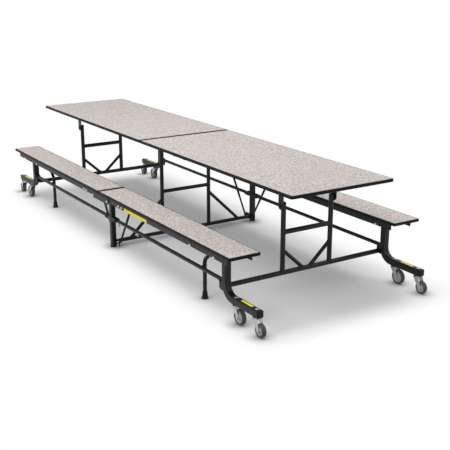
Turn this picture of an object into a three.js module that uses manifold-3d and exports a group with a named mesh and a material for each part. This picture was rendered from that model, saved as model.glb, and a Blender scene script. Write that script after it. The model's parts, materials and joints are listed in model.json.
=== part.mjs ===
// Mobile cafeteria table with two fixed benches. It folds upwards at the middle and rolls on casters.
// Millimetres, +Z up. X runs along the table (near half at +X), the front bench is at -Y.
// The origin lies on the floor under the middle of the table.
import * as THREE from "three";
import { mergeVertices } from "three/addons/utils/BufferGeometryUtils.js";
import Module from "manifold-3d";

const wasm = await Module();
wasm.setup();

// Table top
const TABLE_LENGTH = 3658;
const TABLE_WIDTH = 762;
const TABLE_HEIGHT = 762;
const TOP_THICK = 20;
const TOP_CORNER = 20;

// Benches
const BENCH_LENGTH = 3445;
const BENCH_WIDTH = 216;
const BENCH_LINE = 612; // from the table's centre line to a bench's centre line
const SEAT_HEIGHT = 432;
const SEAT_THICK = 19;
const SEAT_CORNER = 12;

// Edge band round every panel
const SEAM = 4; // between the two halves
const SEAM_CORNER = 10;
const EDGE_BAND = 9;
const EDGE_ROUND = 4;

// Clearances
const FIT = 0.3; // between faces that touch
const SLIP = 0.5; // beside parts that turn or slide

// Pivots that every folding link shares
const PIVOT_SPAN = 1413; // end pivot to centre pivot
const CENTRE_PIVOT = 115; // bench's centre pivot from the seam
const PIVOT_IN = 39; // table's and lower rails' pivots, nearer to the middle than the benches'
const TABLE_PIVOT_DROP = 142; // below the table top's underside
const BENCH_PIVOT_DROP = 33; // below the seat's underside
const RAIL_PIVOT_DROP = 165; // lower rail's pivot below the bench pivot
const PIN = 12;
const SMALL_PIN = 10;
const PIN_HEAD = 24;
const HEAD_THICK = 4;

// Table underframe
const SIDE_RAIL_LINE = 214; // from the table's centre line
const SIDE_RAIL_WIDTH = 38;
const SIDE_RAIL_DEPTH = 34;
const UNDERFRAME_INSET = 46; // from the seam
const UNDERFRAME_SHORT = 110; // from the half top's outer end
const CROSS_RAIL = 26;
const CROSS_RAIL_COUNT = 4;
const BRACKET_THICK = 8;
const BRACKET_END = 17;
const BRACKET_TOP = 40;

// End frames
const END_LEG_LINE = 182;
const END_TUBE = 31;
const LEG_ABOVE_PIVOT = 22;
const END_LOW_BAR_Z = 174;
const END_MID_BAR_Z = 433;
const END_BRACE_Z = 320;
const END_BRACE_Y = 20;
const BRACE_TUBE = 24;

// Caster posts
const POST_TUBE = 45;
const POST_WIDTH = 44;
const POST_ROUND = 5;
const POST_BEND = 60;
const CASTER_HEIGHT = 110;
const FOOT_REACH = 348; // from the end pivot to the foot's tip
const GUSSET_PLATE = 4;
const GUSSET_END = 14;
const GUSSET_DROP = 56;

// Casters
const STEM_FROM_POST = [108, 314]; // inner and outer caster
const STEM = 12;
const TRAIL = 38;
const WHEELS = [96, 80];
const TREAD = 30;
const TREAD_ROUND = 7;
const TYRE_DEPTH = 13;
const RIM_RECESS = 5;
const HUB = 34;
const AXLE = 10;
const CROWN = 50;
const CROWN_THICK = 8;
const FORK_PLATE = 4;
const FORK_WIDE = 46;
const FORK_END = 12;
const STEM_NUT = 20;
const STEM_NUT_THICK = 7;

// Bench rails
const RAIL_WIDTH = 170;
const RAIL_DEPTH = 42;
const RAIL_WALL = 3;
const RAIL_FROM_SEAM = 22;
const RAIL_SHORT = 54; // from the seat's outer end
const RAIL_TIE = 30;
const RAIL_TIE_AT = [640, 1000];
const STRUT_LUG = 28;
const STRUT_LUG_PLATE = 5;
const STRUT_LUG_INSET = 20; // from the bench's centre line

// Lower rails
const LOWER_RAIL = 25;
const LOWER_RAIL_PAST = 9; // past its pivots

// Support legs of the front bench
const SUPPORT_FROM_POST = 269; // its top pivot from the end pivot
const SUPPORT_INSET = 40; // from the bench's centre line
const SUPPORT_TUBE = 25;
const SUPPORT_BEND_Z = 250; // where the leg leaves the vertical
const SUPPORT_FOOT = 44;
const SUPPORT_FOOT_HEIGHT = 46;
const FOOT_SOLE = 10;
const FOOT_CUP_WALL = 3;

// Centre frame
const CENTRE_LEG_LINE = 202;
const LEG_TUBE = 28;
const MID_BAR_TUBE = 27;
const CENTRE_LOW_BAR_Z = 39;
const CENTRE_MID_BAR_Z = 356;
const CENTRE_BRACE_Z = 300;
const CENTRE_BRACE_Y = 475;
const BENCH_LEG_X = 40;
const BENCH_LEG_Y = 36;
const BENCH_LEG_ROUND = 6;
const HEAD_CHEEK = 4.5;
const HEAD_RADIUS = 18;
const HEAD_FLARE = 40;
const YOKE_RADIUS = 22;
const HINGE_LINE = 36; // from the table's centre line to a hinge plate
const HINGE_BAR_DROP = 55; // below the table top's underside
const HINGE_THICK = 12;
const HINGE_RADIUS = 17;
const LUG_PLATE = 4;
const LUG_END = 14;
const GLIDE = 46;
const GLIDE_HEIGHT = 12;

// Lift struts beside the centre legs
const STRUT_INSET = 35; // from the bench's centre line
const STRUT_TOP_X = 240;
const STRUT_TOP_BELOW = 35; // below the bench pivot
const STRUT_FOOT_X = 50;
const STRUT_FOOT_Z = 45;
const STRUT_TUBE = 16;
const STRUT_TUBE_LENGTH = 195;
const STRUT_ROD = 9;
const STRUT_OVERLAP = 20;
const STRUT_EYE = 22;
const STRUT_EYE_THICK = 8;
const STRUT_PIN = 8;
const STRUT_BOSS = 14;
const FOOT_PLATE = 5;
const FOOT_PLATE_DEPTH = 28;
const FOOT_PLATE_MARGIN = 12;

// Facets
const ROUND = 10;
const PIN_ROUND = 6;
const WHEEL_ROUND = 14;
const CORNER_STEPS = 2;
const BEVEL_STEPS = 1;
const LEG_STEPS = 14;
const OVERCUT = 1; // how far a cutting tool passes the face that it opens

// Heights and places worked out from the sizes above
const topUnder = TABLE_HEIGHT - TOP_THICK;
const seatUnder = SEAT_HEIGHT - SEAT_THICK;
const tablePivotZ = topUnder - TABLE_PIVOT_DROP;
const benchPivotZ = seatUnder - BENCH_PIVOT_DROP;
const railPivotZ = benchPivotZ - RAIL_PIVOT_DROP;
const endX = CENTRE_PIVOT + PIVOT_SPAN;
const tableEndX = endX - PIVOT_IN;
const tableCentreX = CENTRE_PIVOT - PIVOT_IN;
const railTop = seatUnder - FIT;
const railBottom = railTop - RAIL_DEPTH;
const railEnd = BENCH_LENGTH / 2 - RAIL_SHORT;
const clevisGap = LOWER_RAIL + 2 * SLIP;
const footTop = CASTER_HEIGHT + POST_TUBE;
const strutLine = BENCH_LINE - STRUT_INSET;
const strutTopZ = benchPivotZ - STRUT_TOP_BELOW;
const supportLine = BENCH_LINE - SUPPORT_INSET;

// Finishes
const laminate = { color: 0xcfc8c4, roughness: 0.45, metalness: 0 };
const blackEdge = { color: 0x1a1a1b, roughness: 0.5, metalness: 0 };
const blackSteel = { color: 0x242425, roughness: 0.45, metalness: 0.3 };
const blackPlastic = { color: 0x161616, roughness: 0.6, metalness: 0 };
const zincSteel = { color: 0xb9bbbd, roughness: 0.35, metalness: 0.9 };
const greyRubber = { color: 0x6f7173, roughness: 0.7, metalness: 0 };

// Closed geometry as a solid that can be joined and cut
function solid(geometry) {
  geometry.deleteAttribute("normal");
  geometry.deleteAttribute("uv");
  const merged = mergeVertices(geometry);
  const index = merged.index.array;
  const triVerts = [];
  for (let i = 0; i < index.length; i += 3) {
    const [a, b, c] = [index[i], index[i + 1], index[i + 2]];
    if (a !== b && b !== c && c !== a) triVerts.push(a, b, c);
  }
  const vertProperties = merged.attributes.position.array;
  const mesh = new wasm.Mesh({ numProp: 3, vertProperties, triVerts: Uint32Array.from(triVerts) });
  return new wasm.Manifold(mesh);
}

function joined(geometries) {
  return geometries.map(solid).reduce((whole, next) => whole.add(next));
}

function cut(body, geometries) {
  return geometries.map(solid).reduce((rest, tool) => rest.subtract(tool), body);
}

function geometryOf(body) {
  const mesh = body.getMesh();
  const geometry = new THREE.BufferGeometry();
  geometry.setAttribute("position", new THREE.BufferAttribute(mesh.vertProperties, 3));
  geometry.setIndex(new THREE.BufferAttribute(mesh.triVerts, 1));
  geometry.computeVertexNormals();
  return geometry;
}

// A piece made for the near half's back side, carried to another side: each side is +1 or -1
function onSide(geometry, sideX, sideY) {
  const copy = geometry.clone().scale(sideX, sideY, 1);
  if (sideX * sideY < 0) {
    const index = copy.index.array;
    for (let i = 0; i < index.length; i += 3) {
      [index[i + 1], index[i + 2]] = [index[i + 2], index[i + 1]];
    }
  }
  copy.computeVertexNormals();
  return copy;
}

function block(x0, x1, y0, y1, z0, z1) {
  const geometry = new THREE.BoxGeometry(x1 - x0, y1 - y0, z1 - z0);
  return geometry.translate((x0 + x1) / 2, (y0 + y1) / 2, (z0 + z1) / 2);
}

function rod(from, to, diameter, sides = ROUND, firstCorner = 0) {
  const start = new THREE.Vector3(...from);
  const run = new THREE.Vector3(...to).sub(start);
  const radius = diameter / 2;
  const geometry = new THREE.CylinderGeometry(radius, radius, run.length(), sides, 1, false, firstCorner);
  geometry.translate(0, run.length() / 2, 0);
  const turn = new THREE.Quaternion().setFromUnitVectors(new THREE.Vector3(0, 1, 0), run.clone().normalize());
  return geometry.applyQuaternion(turn).translate(...start);
}

// A round tool whose flats clear a turning pin of the given diameter, and face its corners
function bore(from, to, diameter) {
  const halfStep = Math.PI / PIN_ROUND;
  return rod(from, to, (diameter + 2 * SLIP) / Math.cos(halfStep), PIN_ROUND, halfStep);
}

// A pin along Y with a head beyond its far end
function headedPin(x, z, fromY, toY, diameter, head) {
  const outward = Math.sign(toY - fromY);
  const shank = rod([x, fromY, z], [x, toY, z], diameter, PIN_ROUND);
  const cap = rod([x, toY - outward * FIT, z], [x, toY + outward * HEAD_THICK, z], head, PIN_ROUND);
  return [shank, cap];
}

// A pin across the bench's centre line, reaching as far on both sides
function crossPin(x, z, reach, diameter) {
  return rod([x, BENCH_LINE - reach, z], [x, BENCH_LINE + reach, z], diameter, PIN_ROUND);
}

// An outline drawn in X and Z, given its thickness along Y
function sidePlate(outline, y0, y1, bevel = 0) {
  const geometry = new THREE.ExtrudeGeometry(outline, {
    depth: y1 - y0 - 2 * bevel,
    curveSegments: CORNER_STEPS,
    bevelEnabled: bevel > 0,
    bevelThickness: bevel,
    bevelSize: bevel,
    bevelOffset: -bevel,
    bevelSegments: BEVEL_STEPS,
  });
  return geometry.rotateX(Math.PI / 2).translate(0, y1 - bevel, 0);
}

// An outline drawn in X and Y, given its height along Z
function plan(outline, z0, z1, bevel = 0) {
  const geometry = new THREE.ExtrudeGeometry(outline, {
    depth: z1 - z0 - 2 * bevel,
    curveSegments: CORNER_STEPS,
    bevelEnabled: bevel > 0,
    bevelThickness: bevel,
    bevelSize: bevel,
    bevelOffset: -bevel,
    bevelSegments: BEVEL_STEPS,
  });
  return geometry.translate(0, 0, z0 + bevel);
}

function roundedRectangle(x0, x1, y0, y1, cornerLeft, cornerRight) {
  const outline = new THREE.Shape();
  outline.absarc(x0 + cornerLeft, y0 + cornerLeft, cornerLeft, Math.PI, 1.5 * Math.PI);
  outline.absarc(x1 - cornerRight, y0 + cornerRight, cornerRight, 1.5 * Math.PI, 2 * Math.PI);
  outline.absarc(x1 - cornerRight, y1 - cornerRight, cornerRight, 0, 0.5 * Math.PI);
  outline.absarc(x0 + cornerLeft, y1 - cornerLeft, cornerLeft, 0.5 * Math.PI, Math.PI);
  outline.closePath();
  return outline;
}

function revolved(points, sides) {
  const profile = points.map(([radius, z]) => new THREE.Vector2(radius, z));
  return new THREE.LatheGeometry(profile, sides).rotateX(Math.PI / 2);
}

// Half of a panel: the laminate core and the edge band round it
function panelHalf(length, width, middleY, corner, under, thick) {
  const outline = (inset) => roundedRectangle(
    SEAM / 2 + inset,
    length / 2 - inset,
    middleY - width / 2 + inset,
    middleY + width / 2 - inset,
    Math.max(SEAM_CORNER - inset, OVERCUT),
    Math.max(corner - inset, OVERCUT),
  );
  const core = plan(outline(EDGE_BAND), under, under + thick);
  const band = solid(plan(outline(0), under, under + thick, EDGE_ROUND));
  const room = plan(outline(EDGE_BAND - FIT), under - OVERCUT, under + thick + OVERCUT);
  return { core: geometryOf(solid(core)), band: geometryOf(cut(band, [room])) };
}

// Hinge bracket that hangs from the underframe to a table pivot
function bracketPlate(x, y0) {
  const top = topUnder - SIDE_RAIL_DEPTH / 2;
  const outline = new THREE.Shape();
  outline.moveTo(x - BRACKET_TOP / 2, top);
  outline.lineTo(x - BRACKET_END, tablePivotZ);
  outline.absarc(x, tablePivotZ, BRACKET_END, Math.PI, 2 * Math.PI);
  outline.lineTo(x + BRACKET_TOP / 2, top);
  outline.closePath();
  return sidePlate(outline, y0, y0 + BRACKET_THICK);
}

// Frame under half of the table top: side rails, cross rails and four hinge brackets
function tableUnderframe() {
  const start = UNDERFRAME_INSET + SEAM / 2;
  const end = TABLE_LENGTH / 2 - UNDERFRAME_SHORT;
  const railTopZ = topUnder - FIT;
  const pieces = [];
  const holes = [];
  const bracketAt = [
    [tableEndX, END_LEG_LINE + END_TUBE / 2 + SLIP],
    [tableCentreX, HINGE_LINE + HINGE_THICK / 2 + SLIP],
  ];
  for (const side of [-1, 1]) {
    const line = side * SIDE_RAIL_LINE;
    const half = SIDE_RAIL_WIDTH / 2;
    pieces.push(block(start, end, line - half, line + half, topUnder - SIDE_RAIL_DEPTH, railTopZ));
    for (const [x, gapY] of bracketAt) {
      pieces.push(bracketPlate(x, side > 0 ? gapY : -gapY - BRACKET_THICK));
    }
  }
  for (const [x] of bracketAt) {
    holes.push(bore([x, -TABLE_WIDTH / 2, tablePivotZ], [x, TABLE_WIDTH / 2, tablePivotZ], PIN));
  }
  for (let i = 0; i < CROSS_RAIL_COUNT; i += 1) {
    const x = start + (CROSS_RAIL + (end - start - 2 * CROSS_RAIL) * i / (CROSS_RAIL_COUNT - 1));
    const half = CROSS_RAIL / 2;
    pieces.push(block(x - half, x + half, -SIDE_RAIL_LINE, SIDE_RAIL_LINE, railTopZ - CROSS_RAIL, railTopZ));
  }
  return geometryOf(cut(joined(pieces), holes));
}

// Welded end frame: two table legs, two bars and a V brace, with the table's end pivots
function endFrame() {
  const barEnd = BENCH_LINE - clevisGap / 2 - GUSSET_PLATE - FIT;
  const legTop = tablePivotZ + LEG_ABOVE_PIVOT;
  const x = tableEndX;
  const pieces = [
    rod([x, -barEnd, END_LOW_BAR_Z], [x, barEnd, END_LOW_BAR_Z], END_TUBE),
    rod([x, -END_LEG_LINE, END_MID_BAR_Z], [x, END_LEG_LINE, END_MID_BAR_Z], END_TUBE),
  ];
  const headFace = END_LEG_LINE + END_TUBE / 2 + 2 * SLIP + BRACKET_THICK;
  for (const side of [-1, 1]) {
    const y = side * END_LEG_LINE;
    pieces.push(rod([x, y, END_LOW_BAR_Z], [x, y, legTop], END_TUBE));
    pieces.push(rod([x, y, END_BRACE_Z], [x, side * END_BRACE_Y, END_LOW_BAR_Z], BRACE_TUBE));
    pieces.push(...headedPin(x, tablePivotZ, y, side * headFace, PIN, PIN_HEAD));
  }
  return geometryOf(joined(pieces));
}

// Post that stands inside the bench rail and curves out into the foot over two casters
function casterPost() {
  const half = POST_TUBE / 2;
  const bendX = endX + half + POST_BEND;
  const bendZ = footTop + POST_BEND;
  const tip = endX + FOOT_REACH;
  const outline = new THREE.Shape();
  outline.moveTo(endX - half, benchPivotZ);
  outline.lineTo(endX - half, bendZ);
  outline.absarc(bendX, bendZ, POST_BEND + POST_TUBE, Math.PI, 1.5 * Math.PI);
  outline.lineTo(tip, CASTER_HEIGHT);
  outline.lineTo(tip, footTop);
  outline.lineTo(bendX, footTop);
  outline.absarc(bendX, bendZ, POST_BEND, 1.5 * Math.PI, Math.PI, true);
  outline.lineTo(endX + half, benchPivotZ);
  outline.absarc(endX, benchPivotZ, half, 0, Math.PI);
  const face = POST_WIDTH / 2;
  const tube = solid(sidePlate(outline, BENCH_LINE - face, BENCH_LINE + face, POST_ROUND));
  const stemHoles = STEM_FROM_POST.map((offset) => bore(
    [endX + offset, BENCH_LINE, CASTER_HEIGHT - OVERCUT], [endX + offset, BENCH_LINE, footTop + OVERCUT], STEM,
  ));
  const pivotX = endX - PIVOT_IN;
  const low = railPivotZ - GUSSET_DROP;
  const gusset = new THREE.Shape();
  gusset.moveTo(endX, railPivotZ + GUSSET_END);
  gusset.lineTo(pivotX, railPivotZ + GUSSET_END);
  gusset.absarc(pivotX, railPivotZ, GUSSET_END, 0.5 * Math.PI, Math.PI);
  gusset.lineTo(pivotX - GUSSET_END, low + GUSSET_END);
  gusset.lineTo(pivotX, low);
  gusset.lineTo(endX, low);
  gusset.closePath();
  const gap = clevisGap / 2;
  const outer = gap + GUSSET_PLATE;
  const added = joined([
    sidePlate(gusset, BENCH_LINE + gap, BENCH_LINE + outer),
    sidePlate(gusset, BENCH_LINE - outer, BENCH_LINE - gap),
    crossPin(pivotX, railPivotZ, outer, SMALL_PIN),
    crossPin(endX, benchPivotZ, RAIL_WIDTH / 2 + HEAD_THICK, PIN),
  ]);
  return geometryOf(cut(tube, stemHoles).add(added));
}

// Caster fork about its own stem: the wheel trails towards +X
function casterFork(wheelSize) {
  const crownTop = CASTER_HEIGHT - SLIP;
  const crownUnder = crownTop - CROWN_THICK;
  const axleZ = wheelSize / 2;
  const inner = TREAD / 2 + 2 * SLIP;
  const outer = inner + FORK_PLATE;
  const outline = new THREE.Shape();
  outline.moveTo(-FORK_WIDE / 2, crownUnder + CROWN_THICK / 2);
  outline.lineTo(TRAIL - FORK_END, axleZ);
  outline.absarc(TRAIL, axleZ, FORK_END, Math.PI, 2 * Math.PI);
  outline.lineTo(FORK_WIDE / 2, crownUnder + CROWN_THICK / 2);
  outline.closePath();
  const pieces = [
    rod([0, 0, crownUnder], [0, 0, crownTop], CROWN),
    rod([0, 0, crownTop - SLIP], [0, 0, footTop + SLIP + FIT], STEM, PIN_ROUND),
    rod([0, 0, footTop + SLIP], [0, 0, footTop + SLIP + STEM_NUT_THICK], STEM_NUT, 6),
    sidePlate(outline, inner, outer),
    sidePlate(outline, -outer, -inner),
    rod([TRAIL, -outer - HEAD_THICK, axleZ], [TRAIL, outer + HEAD_THICK, axleZ], AXLE, PIN_ROUND),
  ];
  return geometryOf(joined(pieces));
}

// Caster wheel about its own axle, along Z: rubber tread, recessed web and hub
function casterWheel(wheelSize) {
  const radius = wheelSize / 2;
  const half = TREAD / 2;
  const hole = AXLE / 2 + SLIP;
  const rim = radius - TYRE_DEPTH;
  const web = half - RIM_RECESS;
  const profile = [
    [hole, -half], [HUB / 2, -half], [rim, -web], [radius - TREAD_ROUND, -half], [radius, TREAD_ROUND - half],
    [radius, half - TREAD_ROUND], [radius - TREAD_ROUND, half], [rim, web], [HUB / 2, half], [hole, half],
    [hole, -half],
  ];
  return geometryOf(solid(revolved(profile, WHEEL_ROUND)));
}

// Wide inverted channel under half a bench, with its ties and the stud for the lift strut
function benchRail(withSupportLeg) {
  const half = RAIL_WIDTH / 2;
  const inner = half - RAIL_WALL;
  const underWeb = railTop - RAIL_WALL;
  const [y0, y1] = [BENCH_LINE - half, BENCH_LINE + half];
  const [in0, in1] = [BENCH_LINE - inner, BENCH_LINE + inner];
  const channel = cut(solid(block(RAIL_FROM_SEAM, railEnd, y0, y1, railBottom, railTop)), [
    block(RAIL_FROM_SEAM - OVERCUT, railEnd + OVERCUT, in0, in1, railBottom - OVERCUT, underWeb),
  ]);
  const pieces = RAIL_TIE_AT.map((x) => block(
    x - RAIL_TIE / 2, x + RAIL_TIE / 2, in0 - FIT, in1 + FIT, railBottom + RAIL_WALL, railBottom + 2 * RAIL_WALL,
  ));
  const lugFace = BENCH_LINE - STRUT_LUG_INSET;
  const lugX = STRUT_LUG / 2;
  pieces.push(block(
    STRUT_TOP_X - lugX, STRUT_TOP_X + lugX, lugFace - STRUT_LUG_PLATE, lugFace,
    strutTopZ - lugX, underWeb + FIT,
  ));
  const headY = strutLine - STRUT_EYE_THICK / 2 - SLIP;
  pieces.push(...headedPin(
    STRUT_TOP_X, strutTopZ, lugFace - STRUT_LUG_PLATE / 2, headY, STRUT_PIN, 2 * STRUT_PIN,
  ));
  const through = (x) => bore(
    [x, BENCH_LINE - RAIL_WIDTH, benchPivotZ], [x, BENCH_LINE + RAIL_WIDTH, benchPivotZ], PIN,
  );
  const holes = [through(CENTRE_PIVOT), through(endX)];
  if (withSupportLeg) {
    const x = endX - SUPPORT_FROM_POST;
    holes.push(bore([x, BENCH_LINE - RAIL_WIDTH, benchPivotZ], [x, BENCH_LINE, benchPivotZ], SMALL_PIN));
  }
  return geometryOf(cut(channel.add(joined(pieces)), holes));
}

// Lower rail of half a bench, from the post's clevis to the centre leg's
function lowerRail(withSupportLeg) {
  const pivots = [CENTRE_PIVOT - PIVOT_IN, endX - PIVOT_IN];
  const reach = LOWER_RAIL_PAST;
  const tube = solid(rod(
    [pivots[0] - reach, BENCH_LINE, railPivotZ], [pivots[1] + reach, BENCH_LINE, railPivotZ], LOWER_RAIL,
  ));
  if (withSupportLeg) pivots.push(endX - SUPPORT_FROM_POST - PIVOT_IN);
  const holes = pivots.map((x) => bore(
    [x, BENCH_LINE - LOWER_RAIL, railPivotZ], [x, BENCH_LINE + LOWER_RAIL, railPivotZ], SMALL_PIN,
  ));
  return geometryOf(cut(tube, holes));
}

// Support leg: upright tube bent out to its bench pivot, with a pin on to the lower rail
function supportLeg() {
  const topX = endX - SUPPORT_FROM_POST;
  const x = topX - PIVOT_IN;
  const path = new THREE.CurvePath();
  const point = (px, pz) => new THREE.Vector3(px, supportLine, pz);
  const bendTop = benchPivotZ - PIVOT_IN / 2;
  path.add(new THREE.LineCurve3(point(x, FOOT_SOLE + FIT), point(x, SUPPORT_BEND_Z)));
  path.add(new THREE.CubicBezierCurve3(
    point(x, SUPPORT_BEND_Z),
    point(x, bendTop),
    point(topX, SUPPORT_BEND_Z + PIVOT_IN / 2),
    point(topX, benchPivotZ),
  ));
  path.add(new THREE.LineCurve3(point(topX, benchPivotZ), point(topX, benchPivotZ + SUPPORT_TUBE / 2)));
  const section = new THREE.Shape().absarc(0, 0, SUPPORT_TUBE / 2, 0, 2 * Math.PI);
  const tube = new THREE.ExtrudeGeometry(section, {
    extrudePath: path,
    steps: LEG_STEPS,
    curveSegments: ROUND / 2,
  });
  const flange = BENCH_LINE - RAIL_WIDTH / 2;
  const railFace = BENCH_LINE + LOWER_RAIL / 2;
  const pieces = [
    tube,
    ...headedPin(topX, benchPivotZ, supportLine, flange - SLIP, SMALL_PIN, 2 * SMALL_PIN),
    ...headedPin(x, railPivotZ, supportLine, railFace + SLIP, SMALL_PIN, 2 * SMALL_PIN),
  ];
  return geometryOf(joined(pieces));
}

// Flared plastic foot that cups the support leg, about its own axis
function supportFoot() {
  const cup = (SUPPORT_TUBE / 2 + FIT) / Math.cos(Math.PI / WHEEL_ROUND);
  const profile = [
    [0, 0], [SUPPORT_FOOT / 2, 0], [SUPPORT_FOOT / 2, FOOT_SOLE / 2],
    [cup + FOOT_CUP_WALL, SUPPORT_FOOT_HEIGHT], [cup, SUPPORT_FOOT_HEIGHT], [cup, FOOT_SOLE], [0, FOOT_SOLE],
  ];
  return geometryOf(solid(revolved(profile, WHEEL_ROUND)));
}

// Plate with a rounded end about each of two pivots
function linkOutline(pivotX, pivotZ, radius) {
  const outline = new THREE.Shape();
  outline.absarc(pivotX, pivotZ, radius, -0.5 * Math.PI, 0.5 * Math.PI);
  outline.absarc(-pivotX, pivotZ, radius, 0.5 * Math.PI, 1.5 * Math.PI);
  outline.closePath();
  return outline;
}

// T-shaped cheek that carries two pivots over a centre leg
function headOutline(pivotX, pivotZ, radius, legHalf, low) {
  const outline = new THREE.Shape();
  outline.moveTo(legHalf, low);
  outline.quadraticCurveTo(legHalf, pivotZ - radius, pivotX, pivotZ - radius);
  outline.absarc(pivotX, pivotZ, radius, -0.5 * Math.PI, 0.5 * Math.PI);
  outline.absarc(-pivotX, pivotZ, radius, 0.5 * Math.PI, 1.5 * Math.PI);
  outline.quadraticCurveTo(-legHalf, pivotZ - radius, -legHalf, low);
  outline.closePath();
  return outline;
}

// Plate that hangs from the hinge bar and carries the table's two centre pivots
function hingeOutline(pivotX, pivotZ, radius, neckHalf, high) {
  const outline = new THREE.Shape();
  outline.absarc(pivotX, pivotZ, radius, -0.5 * Math.PI, 0.5 * Math.PI);
  outline.quadraticCurveTo(neckHalf, pivotZ + radius, neckHalf, high);
  outline.lineTo(-neckHalf, high);
  outline.quadraticCurveTo(-neckHalf, pivotZ + radius, -pivotX, pivotZ + radius);
  outline.absarc(-pivotX, pivotZ, radius, 0.5 * Math.PI, 1.5 * Math.PI);
  outline.closePath();
  return outline;
}

// One side of the centre frame: bench leg with its head, yoke plates, lugs and strut plate
function centreBenchLeg() {
  const halfX = BENCH_LEG_X / 2;
  const halfY = BENCH_LEG_Y / 2;
  const legTop = benchPivotZ + HEAD_RADIUS;
  const section = roundedRectangle(
    -halfX, halfX, BENCH_LINE - halfY, BENCH_LINE + halfY, BENCH_LEG_ROUND, BENCH_LEG_ROUND,
  );
  const flareZ = benchPivotZ - HEAD_RADIUS - HEAD_FLARE;
  const head = headOutline(CENTRE_PIVOT, benchPivotZ, HEAD_RADIUS, halfX, flareZ);
  const yoke = linkOutline(CENTRE_PIVOT, benchPivotZ, YOKE_RADIUS);
  const yokeNear = RAIL_WIDTH / 2 + SLIP;
  const yokeFar = yokeNear + HEAD_CHEEK;
  const lugX = CENTRE_PIVOT - PIVOT_IN;
  const lug = linkOutline(lugX, railPivotZ, LUG_END);
  const gap = clevisGap / 2;
  const lugFar = gap + LUG_PLATE;
  const plateX = STRUT_FOOT_X + FOOT_PLATE_MARGIN;
  const plateY = BENCH_LINE - halfY;
  const bossEnd = strutLine + STRUT_EYE_THICK / 2 + SLIP;
  const pieces = [
    plan(section, GLIDE_HEIGHT + FIT, legTop),
    block(
      -plateX, plateX, plateY - FOOT_PLATE, plateY + FOOT_PLATE,
      STRUT_FOOT_Z - FOOT_PLATE_DEPTH / 2, STRUT_FOOT_Z + FOOT_PLATE_DEPTH / 2,
    ),
  ];
  const bothSides = [[head, halfY - OVERCUT, halfY + HEAD_CHEEK], [yoke, yokeNear, yokeFar], [lug, gap, lugFar]];
  for (const [outline, near, far] of bothSides) {
    pieces.push(sidePlate(outline, BENCH_LINE + near, BENCH_LINE + far));
    pieces.push(sidePlate(outline, BENCH_LINE - far, BENCH_LINE - near));
  }
  for (const side of [-1, 1]) {
    const bossX = side * STRUT_FOOT_X;
    pieces.push(crossPin(side * CENTRE_PIVOT, benchPivotZ, yokeFar, PIN));
    pieces.push(crossPin(side * lugX, railPivotZ, lugFar, SMALL_PIN));
    pieces.push(rod([bossX, plateY, STRUT_FOOT_Z], [bossX, bossEnd, STRUT_FOOT_Z], STRUT_BOSS, PIN_ROUND));
  }
  return geometryOf(joined(pieces));
}

// Welded centre frame: two bench legs, two table legs, bars, braces and the table's centre hinge
function centreFrame() {
  const benchLeg = centreBenchLeg();
  const reach = BENCH_LINE - BENCH_LEG_Y / 4;
  const hingeBarZ = topUnder - HINGE_BAR_DROP;
  const legTop = hingeBarZ + MID_BAR_TUBE / 2;
  const plate = hingeOutline(tableCentreX, tablePivotZ, HINGE_RADIUS, LEG_TUBE / 2, hingeBarZ);
  const headFace = HINGE_LINE + HINGE_THICK / 2 + BRACKET_THICK + 2 * SLIP;
  const line = CENTRE_LEG_LINE;
  const pieces = [
    rod([0, -reach, CENTRE_LOW_BAR_Z], [0, reach, CENTRE_LOW_BAR_Z], LEG_TUBE),
    rod([0, -line, CENTRE_MID_BAR_Z], [0, line, CENTRE_MID_BAR_Z], MID_BAR_TUBE),
    rod([0, -line, hingeBarZ], [0, line, hingeBarZ], MID_BAR_TUBE),
  ];
  for (const side of [-1, 1]) {
    const y = side * line;
    const plateY = side * HINGE_LINE;
    const half = HINGE_THICK / 2;
    pieces.push(onSide(benchLeg, 1, side));
    pieces.push(rod([0, y, CENTRE_LOW_BAR_Z], [0, y, legTop], LEG_TUBE));
    pieces.push(rod([0, y, CENTRE_BRACE_Z], [0, side * CENTRE_BRACE_Y, CENTRE_LOW_BAR_Z], BRACE_TUBE));
    pieces.push(sidePlate(plate, plateY - half, plateY + half));
    for (const pivotX of [-tableCentreX, tableCentreX]) {
      pieces.push(...headedPin(pivotX, tablePivotZ, plateY, side * headFace, PIN, PIN_HEAD));
    }
  }
  return geometryOf(joined(pieces));
}

function centreGlide() {
  const profile = [
    [0, 0], [GLIDE / 2 - 2 * SLIP, 0], [GLIDE / 2, 2 * SLIP], [GLIDE / 2, GLIDE_HEIGHT / 2],
    [BENCH_LEG_X / 2, GLIDE_HEIGHT], [0, GLIDE_HEIGHT],
  ];
  return geometryOf(solid(revolved(profile, WHEEL_ROUND)));
}

// Lift strut: a sleeve that hangs on the bench rail's stud, and the rod that slides in it
const strutTop = new THREE.Vector3(STRUT_TOP_X, strutLine, strutTopZ);
const strutFoot = new THREE.Vector3(STRUT_FOOT_X, strutLine, STRUT_FOOT_Z);
const strutLength = strutTop.distanceTo(strutFoot);

function alongStrut(distance) {
  return strutTop.clone().lerp(strutFoot, distance / strutLength).toArray();
}

function strutEye(at) {
  const half = STRUT_EYE_THICK / 2;
  return rod([at.x, at.y - half, at.z], [at.x, at.y + half, at.z], STRUT_EYE);
}

function strutHole(at) {
  return bore([at.x, at.y - STRUT_EYE, at.z], [at.x, at.y + STRUT_EYE, at.z], STRUT_PIN);
}

function strutSleeve() {
  const neck = rod(alongStrut(STRUT_PIN), alongStrut(STRUT_EYE), STRUT_EYE_THICK, PIN_ROUND);
  const tube = rod(alongStrut(STRUT_EYE - STRUT_OVERLAP / 4), alongStrut(STRUT_TUBE_LENGTH), STRUT_TUBE);
  const inside = bore(alongStrut(STRUT_EYE), alongStrut(STRUT_TUBE_LENGTH + OVERCUT), STRUT_ROD);
  return geometryOf(cut(joined([strutEye(strutTop), neck, tube]), [strutHole(strutTop), inside]));
}

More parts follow.
